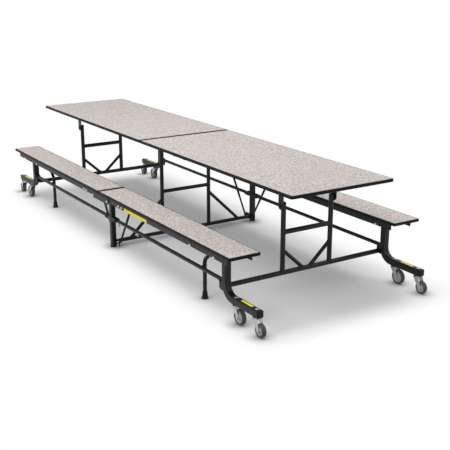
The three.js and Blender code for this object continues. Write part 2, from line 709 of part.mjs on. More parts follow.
function strutRod() {
  const inner = alongStrut(STRUT_TUBE_LENGTH - STRUT_OVERLAP);
  const shaft = rod(inner, alongStrut(strutLength - STRUT_PIN), STRUT_ROD, PIN_ROUND);
  return geometryOf(cut(joined([strutEye(strutFoot), shaft]), [strutHole(strutFoot)]));
}

// The assembly
const assembly = new THREE.Group();

function place(name, geometry, finish, parent = assembly) {
  const mesh = new THREE.Mesh(geometry, new THREE.MeshStandardMaterial(finish));
  mesh.name = name;
  parent.add(mesh);
  return mesh;
}

const halves = [["near", 1], ["far", -1]];
const benches = [["front", -1], ["back", 1]];

const top = panelHalf(TABLE_LENGTH, TABLE_WIDTH, 0, TOP_CORNER, topUnder, TOP_THICK);
const seat = panelHalf(BENCH_LENGTH, BENCH_WIDTH, BENCH_LINE, SEAT_CORNER, seatUnder, SEAT_THICK);
const underframe = tableUnderframe();
const frame = endFrame();
const post = casterPost();
const forks = WHEELS.map(casterFork);
const wheels = WHEELS.map(casterWheel);
const rails = { front: benchRail(true), back: benchRail(false) };
const lowRails = { front: lowerRail(true), back: lowerRail(false) };
const leg = supportLeg();
const foot = supportFoot();
const sleeve = strutSleeve();
const strutShaft = strutRod();
const glide = centreGlide();

// One caster in a group at its stem, turned so that the wheel trails away from the middle
function placeCaster(name, x, y, sideX, size) {
  const caster = new THREE.Group();
  caster.position.set(x, y, 0);
  caster.rotation.z = sideX > 0 ? 0 : Math.PI;
  place(`caster_fork_${name}`, forks[size], zincSteel, caster);
  const roller = place(`caster_wheel_${name}`, wheels[size], greyRubber, caster);
  roller.position.set(TRAIL, 0, WHEELS[size] / 2);
  roller.rotation.x = Math.PI / 2;
  assembly.add(caster);
}

place("centre_frame", centreFrame(), blackSteel);
for (const [half, sideX] of halves) {
  place(`table_top_${half}`, onSide(top.core, sideX, 1), laminate);
  place(`table_edge_${half}`, onSide(top.band, sideX, 1), blackEdge);
  place(`table_underframe_${half}`, onSide(underframe, sideX, 1), blackSteel);
  place(`end_frame_${half}`, onSide(frame, sideX, 1), blackSteel);
  for (const [bench, sideY] of benches) {
    const name = `${bench}_${half}`;
    place(`bench_seat_${name}`, onSide(seat.core, sideX, sideY), laminate);
    place(`bench_edge_${name}`, onSide(seat.band, sideX, sideY), blackEdge);
    place(`bench_rail_${name}`, onSide(rails[bench], sideX, sideY), blackSteel);
    place(`lower_rail_${name}`, onSide(lowRails[bench], sideX, sideY), blackSteel);
    place(`caster_post_${name}`, onSide(post, sideX, sideY), blackSteel);
    place(`strut_sleeve_${name}`, onSide(sleeve, sideX, sideY), blackSteel);
    place(`strut_rod_${name}`, onSide(strutShaft, sideX, sideY), blackSteel);
    const [innerStem, outerStem] = STEM_FROM_POST;
    placeCaster(`${name}_inner`, sideX * (endX + innerStem), sideY * BENCH_LINE, sideX, 0);
    placeCaster(`${name}_outer`, sideX * (endX + outerStem), sideY * BENCH_LINE, sideX, 1);
  }
  place(`support_leg_${half}`, onSide(leg, sideX, -1), blackSteel);
  const cup = place(`support_foot_${half}`, foot, blackPlastic);
  cup.position.set(sideX * (endX - SUPPORT_FROM_POST - PIVOT_IN), -supportLine, 0);
}
for (const [bench, sideY] of benches) {
  place(`centre_glide_${bench}`, glide, blackPlastic).position.set(0, sideY * BENCH_LINE, 0);
}

export default assembly;
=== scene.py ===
"""Finishes a folding cafeteria table with benches: panels, welded frames, casters and hardware."""

import json
import math

import bmesh
import bpy
from mathutils import Matrix, Vector

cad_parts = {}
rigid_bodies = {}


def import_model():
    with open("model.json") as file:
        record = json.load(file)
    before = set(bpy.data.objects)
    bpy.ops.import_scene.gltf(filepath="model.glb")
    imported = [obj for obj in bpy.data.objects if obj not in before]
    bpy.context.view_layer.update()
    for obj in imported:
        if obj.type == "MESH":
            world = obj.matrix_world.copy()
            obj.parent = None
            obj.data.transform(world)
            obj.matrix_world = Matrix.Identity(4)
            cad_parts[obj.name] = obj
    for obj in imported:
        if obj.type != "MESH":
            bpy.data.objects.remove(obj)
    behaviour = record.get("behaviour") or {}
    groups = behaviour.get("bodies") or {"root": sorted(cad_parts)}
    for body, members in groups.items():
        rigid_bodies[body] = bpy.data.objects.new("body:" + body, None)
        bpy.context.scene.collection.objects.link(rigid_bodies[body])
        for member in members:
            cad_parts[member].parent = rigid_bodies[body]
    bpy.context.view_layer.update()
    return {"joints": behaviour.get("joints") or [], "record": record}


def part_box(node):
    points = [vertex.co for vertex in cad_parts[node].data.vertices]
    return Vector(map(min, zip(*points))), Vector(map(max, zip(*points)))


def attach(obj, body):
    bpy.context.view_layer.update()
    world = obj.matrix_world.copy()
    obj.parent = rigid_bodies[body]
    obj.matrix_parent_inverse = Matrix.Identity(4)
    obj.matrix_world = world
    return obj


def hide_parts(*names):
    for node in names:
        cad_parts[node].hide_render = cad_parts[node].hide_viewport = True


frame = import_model()

bl_info = {
    "name": "Cafeteria bench table",
    "version": (1, 0, 0),
    "blender": (4, 5, 0),
    "location": "3D View > Sidebar > Bench table",
    "description": "Finishes a folding cafeteria table with benches",
    "category": "Object",
}

MM = 0.001

# Places and names that the frame gives
PIVOT = {joint["name"]: Vector(joint["pos_m"]) for joint in frame["joints"] if "pos_m" in joint}
BODY = {node: body for body, nodes in frame["record"]["behaviour"]["bodies"].items() for node in nodes}
SLOT = {part["node"]: part["material_slot"] for part in frame["record"]["subparts"]}
END_PIVOT = PIVOT["end_near_pivot"]
CENTRE_PIVOT = PIVOT["centre_near_pivot"]
BENCH_PIVOT = PIVOT["bench_back_near_pivot"]
RAIL_PIVOT = PIVOT["lower_rail_back_near_pivot"]
STRUT_TOP = PIVOT["strut_back_near_pivot"]
SUPPORT_PIVOT = PIVOT["support_leg_near_pivot"]
RAIL_IN = BENCH_PIVOT.x - RAIL_PIVOT.x
BENCH_CENTRE_X = BENCH_PIVOT.x - (END_PIVOT.x - CENTRE_PIVOT.x)
BENCH_Y = BENCH_PIVOT.y
HALVES = {"near": 1, "far": -1}
BENCHES = {"front": -1, "back": 1}
STEMS = ("inner", "outer")
SIDES = [(f"{bench}_{half}", x, y) for bench, y in BENCHES.items() for half, x in HALVES.items()]
ALL_SIDES = [(x, y) for _, x, y in SIDES]

# Places along a bench, from the seam
TIE_PLACES = (640 * MM, 1000 * MM)
SEAT_SCREWS = (180 * MM, 640 * MM, 1100 * MM, 1420 * MM)
FLANGE_BOLTS = {"near": (288 * MM, 338 * MM), "far": (245 * MM, 290 * MM)}

# Other places of screws and bolts
SEAT_SCREW_LINES = (-55 * MM, 55 * MM)
TOP_SCREWS = 7
FLANGE_BOLT_RISE = 7 * MM
LOWER_FOOT_BOLT = 20 * MM
LOW_BAR_BOLT_Y = -420 * MM

# Strips: from and to along the table, then up the rail or across the foot
RAIL_STRIP = (372 * MM, 700 * MM, 371 * MM, 392 * MM)
FOOT_STRIP = (1692 * MM, 1800 * MM, BENCH_Y - 9 * MM, BENCH_Y + 9 * MM)

# Plate for the struts' feet: past them, above them, below them, and half its thickness
STRUT_PLATE_PAST = 12 * MM
STRUT_PLATE_RISE = 14 * MM
STRUT_PLATE_DROP = 30 * MM
STRUT_PLATE_HALF = 5 * MM
STRUT_BOSS = 14 * MM

# Heads of the benches' studs and pins, and nuts on the casters' axles
STUD_HEAD = 4 * MM
HEAD_CHAMFER = 0.8 * MM
AXLE_NUT = 8.5 * MM

# Hook on the front centre leg: its wire, its place inside the rail's pivot, and its length
HOOK = 5 * MM
HOOK_IN = 8 * MM
HOOK_DROP = 49 * MM

# Rings of a foot cap: how far each lies past the foot's tip, and how far it is drawn in
CAP_RINGS = ((-10 * MM, -0.5 * MM), (-3 * MM, -0.5 * MM), (1 * MM, 3 * MM))
CAP_END = 8 * MM

# Floor: its radius, its grey, and for each axis where it is plain white and where it takes all the shadow
FLOOR_RADIUS = 60.0
FLOOR_GREY = (0.72, 0.72, 0.72, 1.0)
SHADOW_EDGES = (("X", 2.12, 1.82), ("X", -2.10, -1.65), ("Y", -0.82, -0.44), ("Y", 0.95, 0.35))
LAMP_AIM = Vector((0, 0, 0.4))

# Facets of round shapes, and the angle past which an edge stays sharp
TUBE_SIDES = 24
TURNED_SIDES = 32
WHEEL_SIDES = 48
WELD_STEPS = 28
WELD_SIDES = 6
CORNER_STEPS = 10
BEND_STEPS = 16
CURVE_STEPS = 14
BAND_STEPS = 6
BEVEL_STEPS = 3
SHARP = math.radians(32)
BEVEL_FROM = math.radians(40)

# Least corner radius, and least step between two faces
LEAST = 0.2 * MM


def linear(hex_code):
    """sRGB hex colour as linear red, green and blue."""
    channels = [int(hex_code[i:i + 2], 16) / 255 for i in (1, 3, 5)]
    return [c / 12.92 if c <= 0.04045 else ((c + 0.055) / 1.055) ** 2.4 for c in channels]


def size(label, description, millimetres):
    """Length that a user may change, its default given in millimetres."""
    return bpy.props.FloatProperty(
        name=label, description=description, default=millimetres * MM, min=0.0, unit="LENGTH", precision=5,
    )


def colour(label, description, hex_code):
    """Colour that a user may change."""
    return bpy.props.FloatVectorProperty(
        name=label, description=description, default=linear(hex_code), size=3, min=0.0, max=1.0,
        subtype="COLOR",
    )


def amount(label, description, default, unit="NONE"):
    """Plain number that a user may change."""
    return bpy.props.FloatProperty(name=label, description=description, default=default, min=0.0, unit=unit)


class PanelSizes(bpy.types.PropertyGroup):
    """Table top and seats."""

    edge_round: size("Edge round", "Rounding of the edge band's outer corners", 5.5)
    table_corner: size("Table corner", "Corner radius at the ends of the table top", 20)
    seat_corner: size("Seat corner", "Corner radius at the ends of a seat", 12)
    seam_corner: size("Seam corner", "Corner radius where two halves meet", 10)
    lip: size("Seam lip", "Width of the band's lip over the laminate at the seam", 8)


class TubeSizes(bpy.types.PropertyGroup):
    """Tubes, bars and plates of the frames."""

    end_tube: size("End frame tube", "Diameter of the end frames' legs and bars", 31)
    leg: size("Centre leg tube", "Diameter of the centre frame's table legs and low bar", 28)
    middle_bar: size("Middle bar", "Diameter of the centre frame's upper bars", 27)
    brace: size("Brace", "Diameter of the slanted braces", 24)
    lower_rail: size("Lower rail", "Diameter of the rails under the benches", 25)
    rail_past: size("Lower rail end", "Lower rail past its pivots", 9)
    support: size("Support leg", "Diameter of the bent support legs", 25)
    pin: size("Pivot pin", "Diameter of the table and bench pivots", 12)
    small_pin: size("Rail pin", "Diameter of the lower rails' pivots", 10)
    bead: size("Weld bead", "Radius of a weld bead", 2.4)
    plate_edge: size("Plate edge", "Rounding of plate edges", 1.2)
    bar_corner: size("Bar corner", "Corner radius of square bars", 4)
    play: size("Play", "Clearance beside parts that turn", 0.5)


class FrameSizes(bpy.types.PropertyGroup):
    """Heights and places in the end frames, the centre frame and the underframe."""

    end_middle: size("End middle bar", "Height of the end frame's middle bar", 433)
    end_brace: size("End brace", "Height where the end braces leave the legs", 320)
    end_brace_foot: size("End brace foot", "Where the end braces meet the low bar", 20)
    end_leg: size("End leg line", "End legs from the table's centre line", 182)
    centre_leg: size("Centre leg line", "Centre table legs from the table's centre line", 202)
    centre_low: size("Centre low bar", "Height of the centre frame's low bar", 39)
    centre_middle: size("Centre middle bar", "Height of the centre frame's middle bar", 356)
    centre_brace: size("Centre brace", "Height where the centre braces leave the legs", 300)
    centre_brace_foot: size("Centre brace foot", "Where the centre braces meet the low bar", 475)
    hinge_line: size("Hinge line", "Centre hinge plates from the table's centre line", 36)
    hinge: size("Hinge plate", "Thickness of the centre hinge plates", 12)
    hinge_radius: size("Hinge end", "End radius of those plates", 12)
    bench_head: size("Bench head", "Thickness of a cheek on a centre bench leg", 4.5)
    bench_head_radius: size("Bench head end", "End radius of those cheeks", 18)
    bench_head_flare: size("Bench head flare", "How far those cheeks reach down the leg", 40)
    yoke_radius: size("Yoke end", "End radius of the plates outside the bench rails", 22)
    bench_leg_x: size("Bench leg", "Width of a centre bench leg along the table", 40)
    bench_leg_y: size("Bench leg depth", "Width of a centre bench leg across the table", 36)
    bench_leg_corner: size("Bench leg corner", "Corner radius of that tube", 7)
    lug: size("Lug plate", "Thickness of the plates that hold a lower rail", 4)
    lug_end: size("Lug end", "End radius of the lugs and gussets", 14)
    bracket: size("Bracket", "Thickness of a hinge bracket", 8)
    bracket_end: size("Bracket end", "End radius of a hinge bracket at an end frame", 24)
    hinge_end: size("Centre bracket end", "End radius of a hinge bracket at the centre", 11)
    bracket_top: size("Bracket top", "Width of a hinge bracket at the rail", 40)
    side_rail: size("Side rail", "Width of the underframe's side rails", 38)
    side_rail_depth: size("Side rail depth", "Depth of the underframe's side rails", 34)
    cross_rail: size("Cross rail", "Width of the underframe's cross rails", 26)


class PostSizes(bpy.types.PropertyGroup):
    """Bent posts over the casters."""

    tube: size("Post tube", "Depth of the post along the table", 45)
    width: size("Post width", "Width of the post across the table", 44)
    corner: size("Post corner", "Corner radius of the post's tube", 9)
    bend: size("Bend", "Inside radius of the bend into the foot", 60)
    caster_height: size("Caster height", "Height of the foot's underside", 110)
    reach: size("Foot reach", "Foot tip from the end pivot", 348)
    gusset_drop: size("Gusset drop", "Gusset below the lower rail's pivot", 56)
    cap: size("Foot cap", "How far the plastic cap stands past the foot", 4)


class CasterSizes(bpy.types.PropertyGroup):
    """Swivel casters."""

    tread: size("Tread", "Width of a wheel", 30)
    tyre: size("Tyre", "Depth of the rubber tyre", 13)
    shoulder: size("Shoulder", "Rounding of the tyre's shoulders", 7)
    hub: size("Hub", "Diameter of the hub", 34)
    axle: size("Axle", "Diameter of the axle", 10)
    plate: size("Fork plate", "Thickness of the fork", 4)
    fork_wide: size("Fork width", "Width of the fork at its crown", 46)
    fork_end: size("Fork end", "End radius of the fork at the axle", 12)
    crown: size("Crown", "Diameter of the swivel crown", 50)
    crown_thick: size("Crown thickness", "Thickness of the swivel crown", 8)
    stem: size("Stem", "Diameter of the stem", 12)
    nut: size("Stem cap", "Diameter of the domed nut on the foot", 26)
    nut_rise: size("Stem cap rise", "Height of the domed nut on the foot", 6)


class BenchSizes(bpy.types.PropertyGroup):
    """Rails, struts and support legs of the benches."""

    rail: size("Rail", "Width of the channel under a bench", 170)
    rail_depth: size("Rail depth", "Depth of that channel", 42)
    wall: size("Rail wall", "Wall of that channel", 3)
    tie: size("Tie", "Width of a tie between the channel's flanges", 30)
    lug: size("Strut lug", "Width of the lug that holds a strut", 28)
    lug_plate: size("Strut lug plate", "Thickness of that lug", 5)
    lug_inset: size("Strut lug inset", "That lug's face from the bench's centre line", 20)
    strut: size("Strut", "Diameter of a lift strut's sleeve", 17)
    strut_rod: size("Strut rod", "Diameter of a lift strut's rod", 14.5)
    strut_sleeve: size("Strut sleeve", "Length of a lift strut's sleeve", 195)
    strut_eye: size("Strut eye", "Diameter of a lift strut's eyes", 22)
    strut_eye_thick: size("Strut eye thickness", "Thickness of those eyes", 8)
    strut_pin: size("Strut pin", "Diameter of the pins in those eyes", 8)
    strut_foot_x: size("Strut foot", "Strut's foot from the seam", 50)
    strut_foot_z: size("Strut foot height", "Strut's foot above the floor", 45)
    support_bend: size("Support bend", "Height where a support leg leaves the vertical", 226)
    support_straight: size("Support straight", "Height where a support leg is upright again", 312)
    support_over: size("Support bow", "How far a support leg bows out past its pivot", 8)
    support_foot: size("Support foot", "Diameter of a support leg's foot", 44)
    support_foot_rise: size("Support foot height", "Height of that foot", 46)
    button_z: size("Leg button", "Height of the snap buttons on a support leg", 100)


class HardwareSizes(bpy.types.PropertyGroup):
    """Bolts, screws and strips."""

    flats: size("Across flats", "Hexagon of a bolt head", 13)
    head: size("Bolt head", "Height of a bolt head", 6)
    washer: size("Washer", "Diameter of a washer", 16)
    washer_thick: size("Washer thickness", "Thickness of a washer", 1.6)
    screw: size("Screw", "Diameter of a screw head", 10)
    screw_rise: size("Screw rise", "Height of a screw head", 3)
    strip: size("Strip", "Thickness of a vinyl strip", 0.4)


class FinishColours(bpy.types.PropertyGroup):
    """Colours of the finishes."""

    laminate: colour("Laminate", "Ground of the speckled laminate", "#cdc6c2")
    laminate_pale: colour("Laminate pale", "Pale grains in it", "#f1ede9")
    laminate_dark: colour("Laminate dark", "Dark grains in it", "#a0978f")
    laminate_warm: colour("Laminate warm", "Warm grains in it", "#d8bab2")
    # Painted light: the seats' laminate is made paler to make up for the shade of the table top
    seat_painted_light_level: amount("Seat level", "How much paler the seats' laminate is", 1.13)
    backer: colour("Backer", "Sheet under the panels", "#57504a")
    edge: colour("Edge band", "Moulded edge band", "#0c0c0d")
    coat: colour("Powder coat", "Coated steel", "#101011")
    coat_worn: colour("Worn coat", "Rubbed edges of the coat", "#2b2b2d")
    plastic: colour("Plastic", "Moulded caps and feet", "#111112")
    zinc: colour("Zinc", "Plated forks", "#bcbebe")
    bolt: colour("Bolts", "Plated bolts and washers", "#eceeee")
    rubber: colour("Rubber", "Tyres", "#5c5d5d")
    hub: colour("Hub", "Wheel hubs", "#c6c6c3")
    strip: colour("Strip", "Vinyl strips", "#ffee2a")


class StageSettings(bpy.types.PropertyGroup):
    """Camera, floor and light."""

    azimuth: amount("Azimuth", "Camera's bearing round the table, in degrees", 57.471)
    elevation: amount("Elevation", "Camera's angle above the horizon, in degrees", 17.103)
    lens: amount("Lens", "Focal length, in millimetres", 68.67, "CAMERA")
    camera_x: amount("Camera along", "Camera's place along the table, in metres", 5.455, "LENGTH")
    camera_y: amount("Camera in front", "Camera's place in front of the table, in metres", 3.1264, "LENGTH")
    camera_z: amount("Camera height", "Camera's height, in metres", 1.9947, "LENGTH")
    lamp: amount("Lamp", "Power of the overhead lamp, in watts", 90.0, "POWER")
    back_lamp: amount("Back lamp", "Power of the small lamp behind, in watts", 33.0, "POWER")
    fill: amount("Fill", "Power of the soft light in front, in watts", 100.0, "POWER")
    sky: amount("Sky", "Strength of the even light all round", 0.36)
    lift: amount("Floor lift", "How far the floor is raised towards white", 0.20)


class BenchTableSettings(bpy.types.PropertyGroup):
    """Everything that a user may change."""

    panels: bpy.props.PointerProperty(type=PanelSizes)
    tubes: bpy.props.PointerProperty(type=TubeSizes)
    frames: bpy.props.PointerProperty(type=FrameSizes)
    posts: bpy.props.PointerProperty(type=PostSizes)
    casters: bpy.props.PointerProperty(type=CasterSizes)
    benches: bpy.props.PointerProperty(type=BenchSizes)
    hardware: bpy.props.PointerProperty(type=HardwareSizes)
    finishes: bpy.props.PointerProperty(type=FinishColours)
    stage: bpy.props.PointerProperty(type=StageSettings)


# Closed shapes
def closed(points, faces, bevel=0.0, steps=BEVEL_STEPS):
    """Closed mesh with its faces outwards, its sharp edges rounded by the bevel."""
    bm = bmesh.new()
    verts = [bm.verts.new(point) for point in points]
    for face in faces:
        bm.faces.new([verts[i] for i in face])
    bmesh.ops.remove_doubles(bm, verts=bm.verts, dist=1e-6)
    bmesh.ops.recalc_face_normals(bm, faces=bm.faces)
    if bevel:
        sharp = [edge for edge in bm.edges if edge.calc_face_angle(0.0) > BEVEL_FROM]
        bmesh.ops.bevel(
            bm, geom=sharp, offset=bevel, segments=steps, profile=0.5, affect="EDGES", clamp_overlap=True,
        )
    mesh = bpy.data.meshes.new("shape")
    bm.to_mesh(mesh)
    bm.free()
    return mesh


def loft(rings, loop=False, bevel=0.0, steps=BEVEL_STEPS):
    """Closed mesh through rings of points. A loop joins the last ring to the first."""
    count = len(rings[0])
    points = [point for ring in rings for point in ring]
    faces = []
    for i in range(len(rings) if loop else len(rings) - 1):
        a, b = i * count, (i + 1) % len(rings) * count
        faces += [(a + j, a + (j + 1) % count, b + (j + 1) % count, b + j) for j in range(count)]
    if not loop:
        faces += [tuple(range(count)), tuple(range(len(points) - count, len(points)))]
    return closed(points, faces, bevel, steps)


def prism(outline, axis, low, high, bevel=0.0, steps=BEVEL_STEPS):
    """Closed plate or bar: an outline given its thickness along X, Y or Z."""
    place = {
        "X": lambda p, h: Vector((h, p[0], p[1])),
        "Y": lambda p, h: Vector((p[0], h, p[1])),
        "Z": lambda p, h: Vector((p[0], p[1], h)),
    }[axis]
    return loft([[place(p, h) for p in outline] for h in (low, high)], False, bevel, steps)


def box(low, high, bevel=0.0):
    """Closed block between two corners."""
    outline = [(low[0], low[1]), (high[0], low[1]), (high[0], high[1]), (low[0], high[1])]
    return prism(outline, "Z", low[2], high[2], bevel, 2)


def circle(radius, sides=TUBE_SIDES):
    """Round section."""
    turns = [2 * math.pi * i / sides for i in range(sides)]
    return [(radius * math.cos(a), radius * math.sin(a)) for a in turns]


def arc(x, y, radius, start, end, steps=CORNER_STEPS):
    """Points along an arc, its angles in degrees."""
    turns = [math.radians(start + (end - start) * i / steps) for i in range(steps + 1)]
    return [(x + radius * math.cos(a), y + radius * math.sin(a)) for a in turns]


def curve(start, control, end, steps=CURVE_STEPS):
    """Points along a curve drawn towards one control point."""
    shares = [i / steps for i in range(steps + 1)]
    return [
        tuple((1 - t) ** 2 * a + 2 * t * (1 - t) * c + t * t * b for a, c, b in zip(start, control, end))
        for t in shares
    ]


def rounded_rectangle(x0, x1, y0, y1, corner, far_corner=None, steps=CORNER_STEPS):
    """Rectangle with round corners. The far corner is the one at the higher end."""
    far_corner = corner if far_corner is None else far_corner
    return (
        arc(x0 + corner, y0 + corner, corner, 180, 270, steps)
        + arc(x1 - far_corner, y0 + far_corner, far_corner, 270, 360, steps)
        + arc(x1 - far_corner, y1 - far_corner, far_corner, 0, 90, steps)
        + arc(x0 + corner, y1 - corner, corner, 90, 180, steps)
    )


def sweep(section, path, side, loop=False, scales=None):
    """Closed tube: a section carried along a path, its first axis turned towards a side."""
    rings = []
    for i, point in enumerate(path):
        before = path[i - 1] if i or loop else point
        after = path[(i + 1) % len(path)] if i + 1 < len(path) or loop else point
        along = (after - before).normalized()
        first = (side - side.dot(along) * along).normalized()
        second = along.cross(first)
        scale = scales[i] if scales else 1.0
        rings.append([point + (u * first + v * second) * scale for u, v in section])
    return loft(rings, loop)


def rod(start, end, diameter, chamfer=0.0, sides=TUBE_SIDES):
    """Round bar between two points."""
    start, end, radius = Vector(start), Vector(end), diameter / 2
    along = (end - start).normalized()
    if not chamfer:
        return sweep(circle(radius, sides), [start, end], along.orthogonal())
    path = [start, start + along * chamfer, end - along * chamfer, end]
    less = 1 - chamfer / radius
    return sweep(circle(radius, sides), path, along.orthogonal(), scales=[less, 1, 1, less])


def spin(profile, origin, axis, sides=TUBE_SIDES, loop=False):
    """Turned shape: pairs of radius and height round an axis."""
    turn = Vector(axis).to_track_quat("Z", "Y")
    rings = [
        [Vector(origin) + turn @ Vector((x, y, height)) for x, y in circle(max(radius, 0.0), sides)]
        for radius, height in profile
    ]
    return loft(rings, loop)


def weld(main, main_axis, main_diameter, start, end, diameter, bead):
    """Bead round the end of a branch tube, along the line where it meets a main tube."""
    main, main_axis, start, end = Vector(main), Vector(main_axis), Vector(start), Vector(end)
    along = (end - start).normalized()
    first = along.orthogonal().normalized()
    second = along.cross(first)
    flat = along - along.dot(main_axis) * main_axis
    path = []
    for u, v in circle(diameter / 2, WELD_STEPS):
        point = start + u * first + v * second
        away = point - main
        away -= away.dot(main_axis) * main_axis
        a, b = flat.dot(flat), 2 * flat.dot(away)
        root = max(b * b - 4 * a * (away.dot(away) - main_diameter ** 2 / 4), 0.0)
        path.append(point + along * (-b - math.sqrt(root)) / (2 * a))
    return sweep(circle(bead, WELD_SIDES), path, along, loop=True)


def fuse(shapes, cuts=()):
    """One closed mesh from shapes that overlap, less the cuts."""
    scene = bpy.context.scene.collection.objects
    body = bpy.data.objects.new("weldment", shapes[0])
    scene.link(body)
    tools = []
    steps = [(shape, "UNION") for shape in shapes[1:]] + [(shape, "DIFFERENCE") for shape in cuts]
    for shape, operation in steps:
        tool = bpy.data.objects.new("tool", shape)
        scene.link(tool)
        tools.append(tool)
        step = body.modifiers.new("step", "BOOLEAN")
        step.operation = operation
        step.solver = "MANIFOLD"
        step.object = tool
    mesh = evaluated(body)
    for tool in tools + [body]:
        bpy.data.objects.remove(tool)
    return mesh


def evaluated(obj):
    """Plain mesh of an object with its modifiers carried out."""
    graph = bpy.context.evaluated_depsgraph_get()
    mesh = bpy.data.meshes.new_from_object(obj.evaluated_get(graph))
    if not mesh.polygons:
        raise RuntimeError(f"{obj.name} came out empty")
    return mesh


def smoothed(mesh):
    """The mesh with smooth shading, apart from its sharp edges."""
    mesh.shade_smooth()
    mesh.set_sharp_from_angle(angle=SHARP)
    return mesh


def on_side(mesh, x, y):
    """Copy of a near or back piece for another side: each side is 1 or -1."""
    copy = mesh.copy()
    copy.transform(Matrix.Diagonal((x, y, 1, 1)))
    if x * y < 0:
        copy.flip_normals()
    return copy


# Pieces on the frame
def piece(name, mesh, body, slot, *finishes):
    """New piece that moves with a body."""
    made = bpy.data.objects.new(name, smoothed(mesh))
    bpy.context.scene.collection.objects.link(made)
    if finishes:
        mesh.materials.clear()
    for finish in finishes:
        mesh.materials.append(finish)
    made.modifiers.new("even_normals", "WEIGHTED_NORMAL").keep_sharp = True
    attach(made, body)
    return made


def stand_for(node, mesh, *finishes):
    """Finished piece in the place of a plain one."""
    made = piece(f"finished_{node}", mesh, BODY[node], SLOT[node], *finishes)
    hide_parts(node)
    return made


# Finishes
def add_node(tree, kind, inputs=None, stops=None, **settings):
    """New node with its settings, colour stops and inputs, which are values or sockets to link."""
    made = tree.nodes.new(kind)
    for key, value in settings.items():
        setattr(made, key, value)
    if stops:
        while len(made.color_ramp.elements) < len(stops):
            made.color_ramp.elements.new(1.0)
        for element, (position, rgb) in zip(made.color_ramp.elements, stops):
            element.position = position
            element.color = (*rgb, 1.0)
    for key, value in (inputs or {}).items():
        if isinstance(value, bpy.types.NodeSocket):
            tree.links.new(value, made.inputs[key])
        else:
            made.inputs[key].default_value = value
    return made


def per_metre(millimetres):
    """Texture scale for a pattern of that real size."""
    return 1.0 / (millimetres * MM)


def blank_finish(name, **shader_inputs):
    """Material with its shader, and the object coordinates that its patterns read."""
    finish = bpy.data.materials.new(name)
    finish.use_nodes = True
    tree = finish.node_tree
    shader = tree.nodes["Principled BSDF"]
    for key, value in shader_inputs.items():
        shader.inputs[key.replace("_", " ")].default_value = value
    place = add_node(tree, "ShaderNodeTexCoord").outputs["Object"]
    return finish, tree, shader, place


def speckled_laminate(name, colours, level):
    """High-pressure laminate: printed paper under melamine, an even ground with grains of three tones."""
    finish, tree, shader, place = blank_finish(name, Roughness=0.46, Specular_IOR_Level=0.25)
    tones = (colours.laminate, colours.laminate_pale, colours.laminate_dark, colours.laminate_warm)
    # Each tone is scaled by the level; a level above 1 is painted light that brightens the laminate
    ground, pale, dark, warm = [[min(part * level, 1.0) for part in tone] for tone in tones]
    layers = []
    # True grains are about 3 mm; both layers are drawn coarser so that they show from a few metres
    for grain in (4.0, 9.0):
        cells = add_node(tree, "ShaderNodeTexVoronoi", {"Vector": place, "Scale": per_metre(grain)})
        tone = add_node(tree, "ShaderNodeSeparateColor", {"Color": cells.outputs["Color"]})
        stops = [(0.0, ground), (0.46, pale), (0.66, dark), (0.80, warm), (0.90, ground)]
        ramp = add_node(tree, "ShaderNodeValToRGB", {"Fac": tone.outputs["Red"]}, stops)
        ramp.color_ramp.interpolation = "CONSTANT"
        layers.append(ramp.outputs["Color"])
    grains = add_node(tree, "ShaderNodeMix", data_type="RGBA")
    grains.inputs["Factor"].default_value = 0.7
    tree.links.new(layers[0], grains.inputs["A"])
    tree.links.new(layers[1], grains.inputs["B"])
    cloud = add_node(tree, "ShaderNodeTexNoise", {"Vector": place, "Scale": per_metre(130), "Detail": 1.0})
    stops = [(0.36, (0.955, 0.974, 0.955)), (0.64, (1.0, 0.962, 0.964))]
    tint = add_node(tree, "ShaderNodeValToRGB", {"Fac": cloud.outputs["Fac"]}, stops)
    tinted = add_node(tree, "ShaderNodeMix", data_type="RGBA", blend_type="MULTIPLY")
    tinted.inputs["Factor"].default_value = 1.0
    tree.links.new(grains.outputs["Result"], tinted.inputs["A"])
    tree.links.new(tint.outputs["Color"], tinted.inputs["B"])
    tree.links.new(tinted.outputs["Result"], shader.inputs["Base Color"])
    tooth = add_node(tree, "ShaderNodeTexNoise", {"Vector": place, "Scale": per_metre(1.5), "Detail": 3.0})
    bump = add_node(
        tree, "ShaderNodeBump", {"Height": tooth.outputs["Fac"], "Strength": 0.08, "Distance": 0.2 * MM},
    )
    tree.links.new(bump.outputs["Normal"], shader.inputs["Normal"])
    return finish


def backer_sheet(colours):
    """Phenolic backer: brown resin paper under the panels, faintly clouded."""
    finish, tree, shader, place = blank_finish("backer_sheet", Roughness=0.6)
    cloud = add_node(tree, "ShaderNodeTexNoise", {"Vector": place, "Scale": per_metre(25), "Detail": 5.0})
    base = colours.backer[:]
    stops = [(0.3, [c * 0.8 for c in base]), (0.7, [c * 1.15 for c in base])]
    ramp = add_node(tree, "ShaderNodeValToRGB", {"Fac": cloud.outputs["Fac"]}, stops)
    tree.links.new(ramp.outputs["Color"], shader.inputs["Base Color"])
    return finish


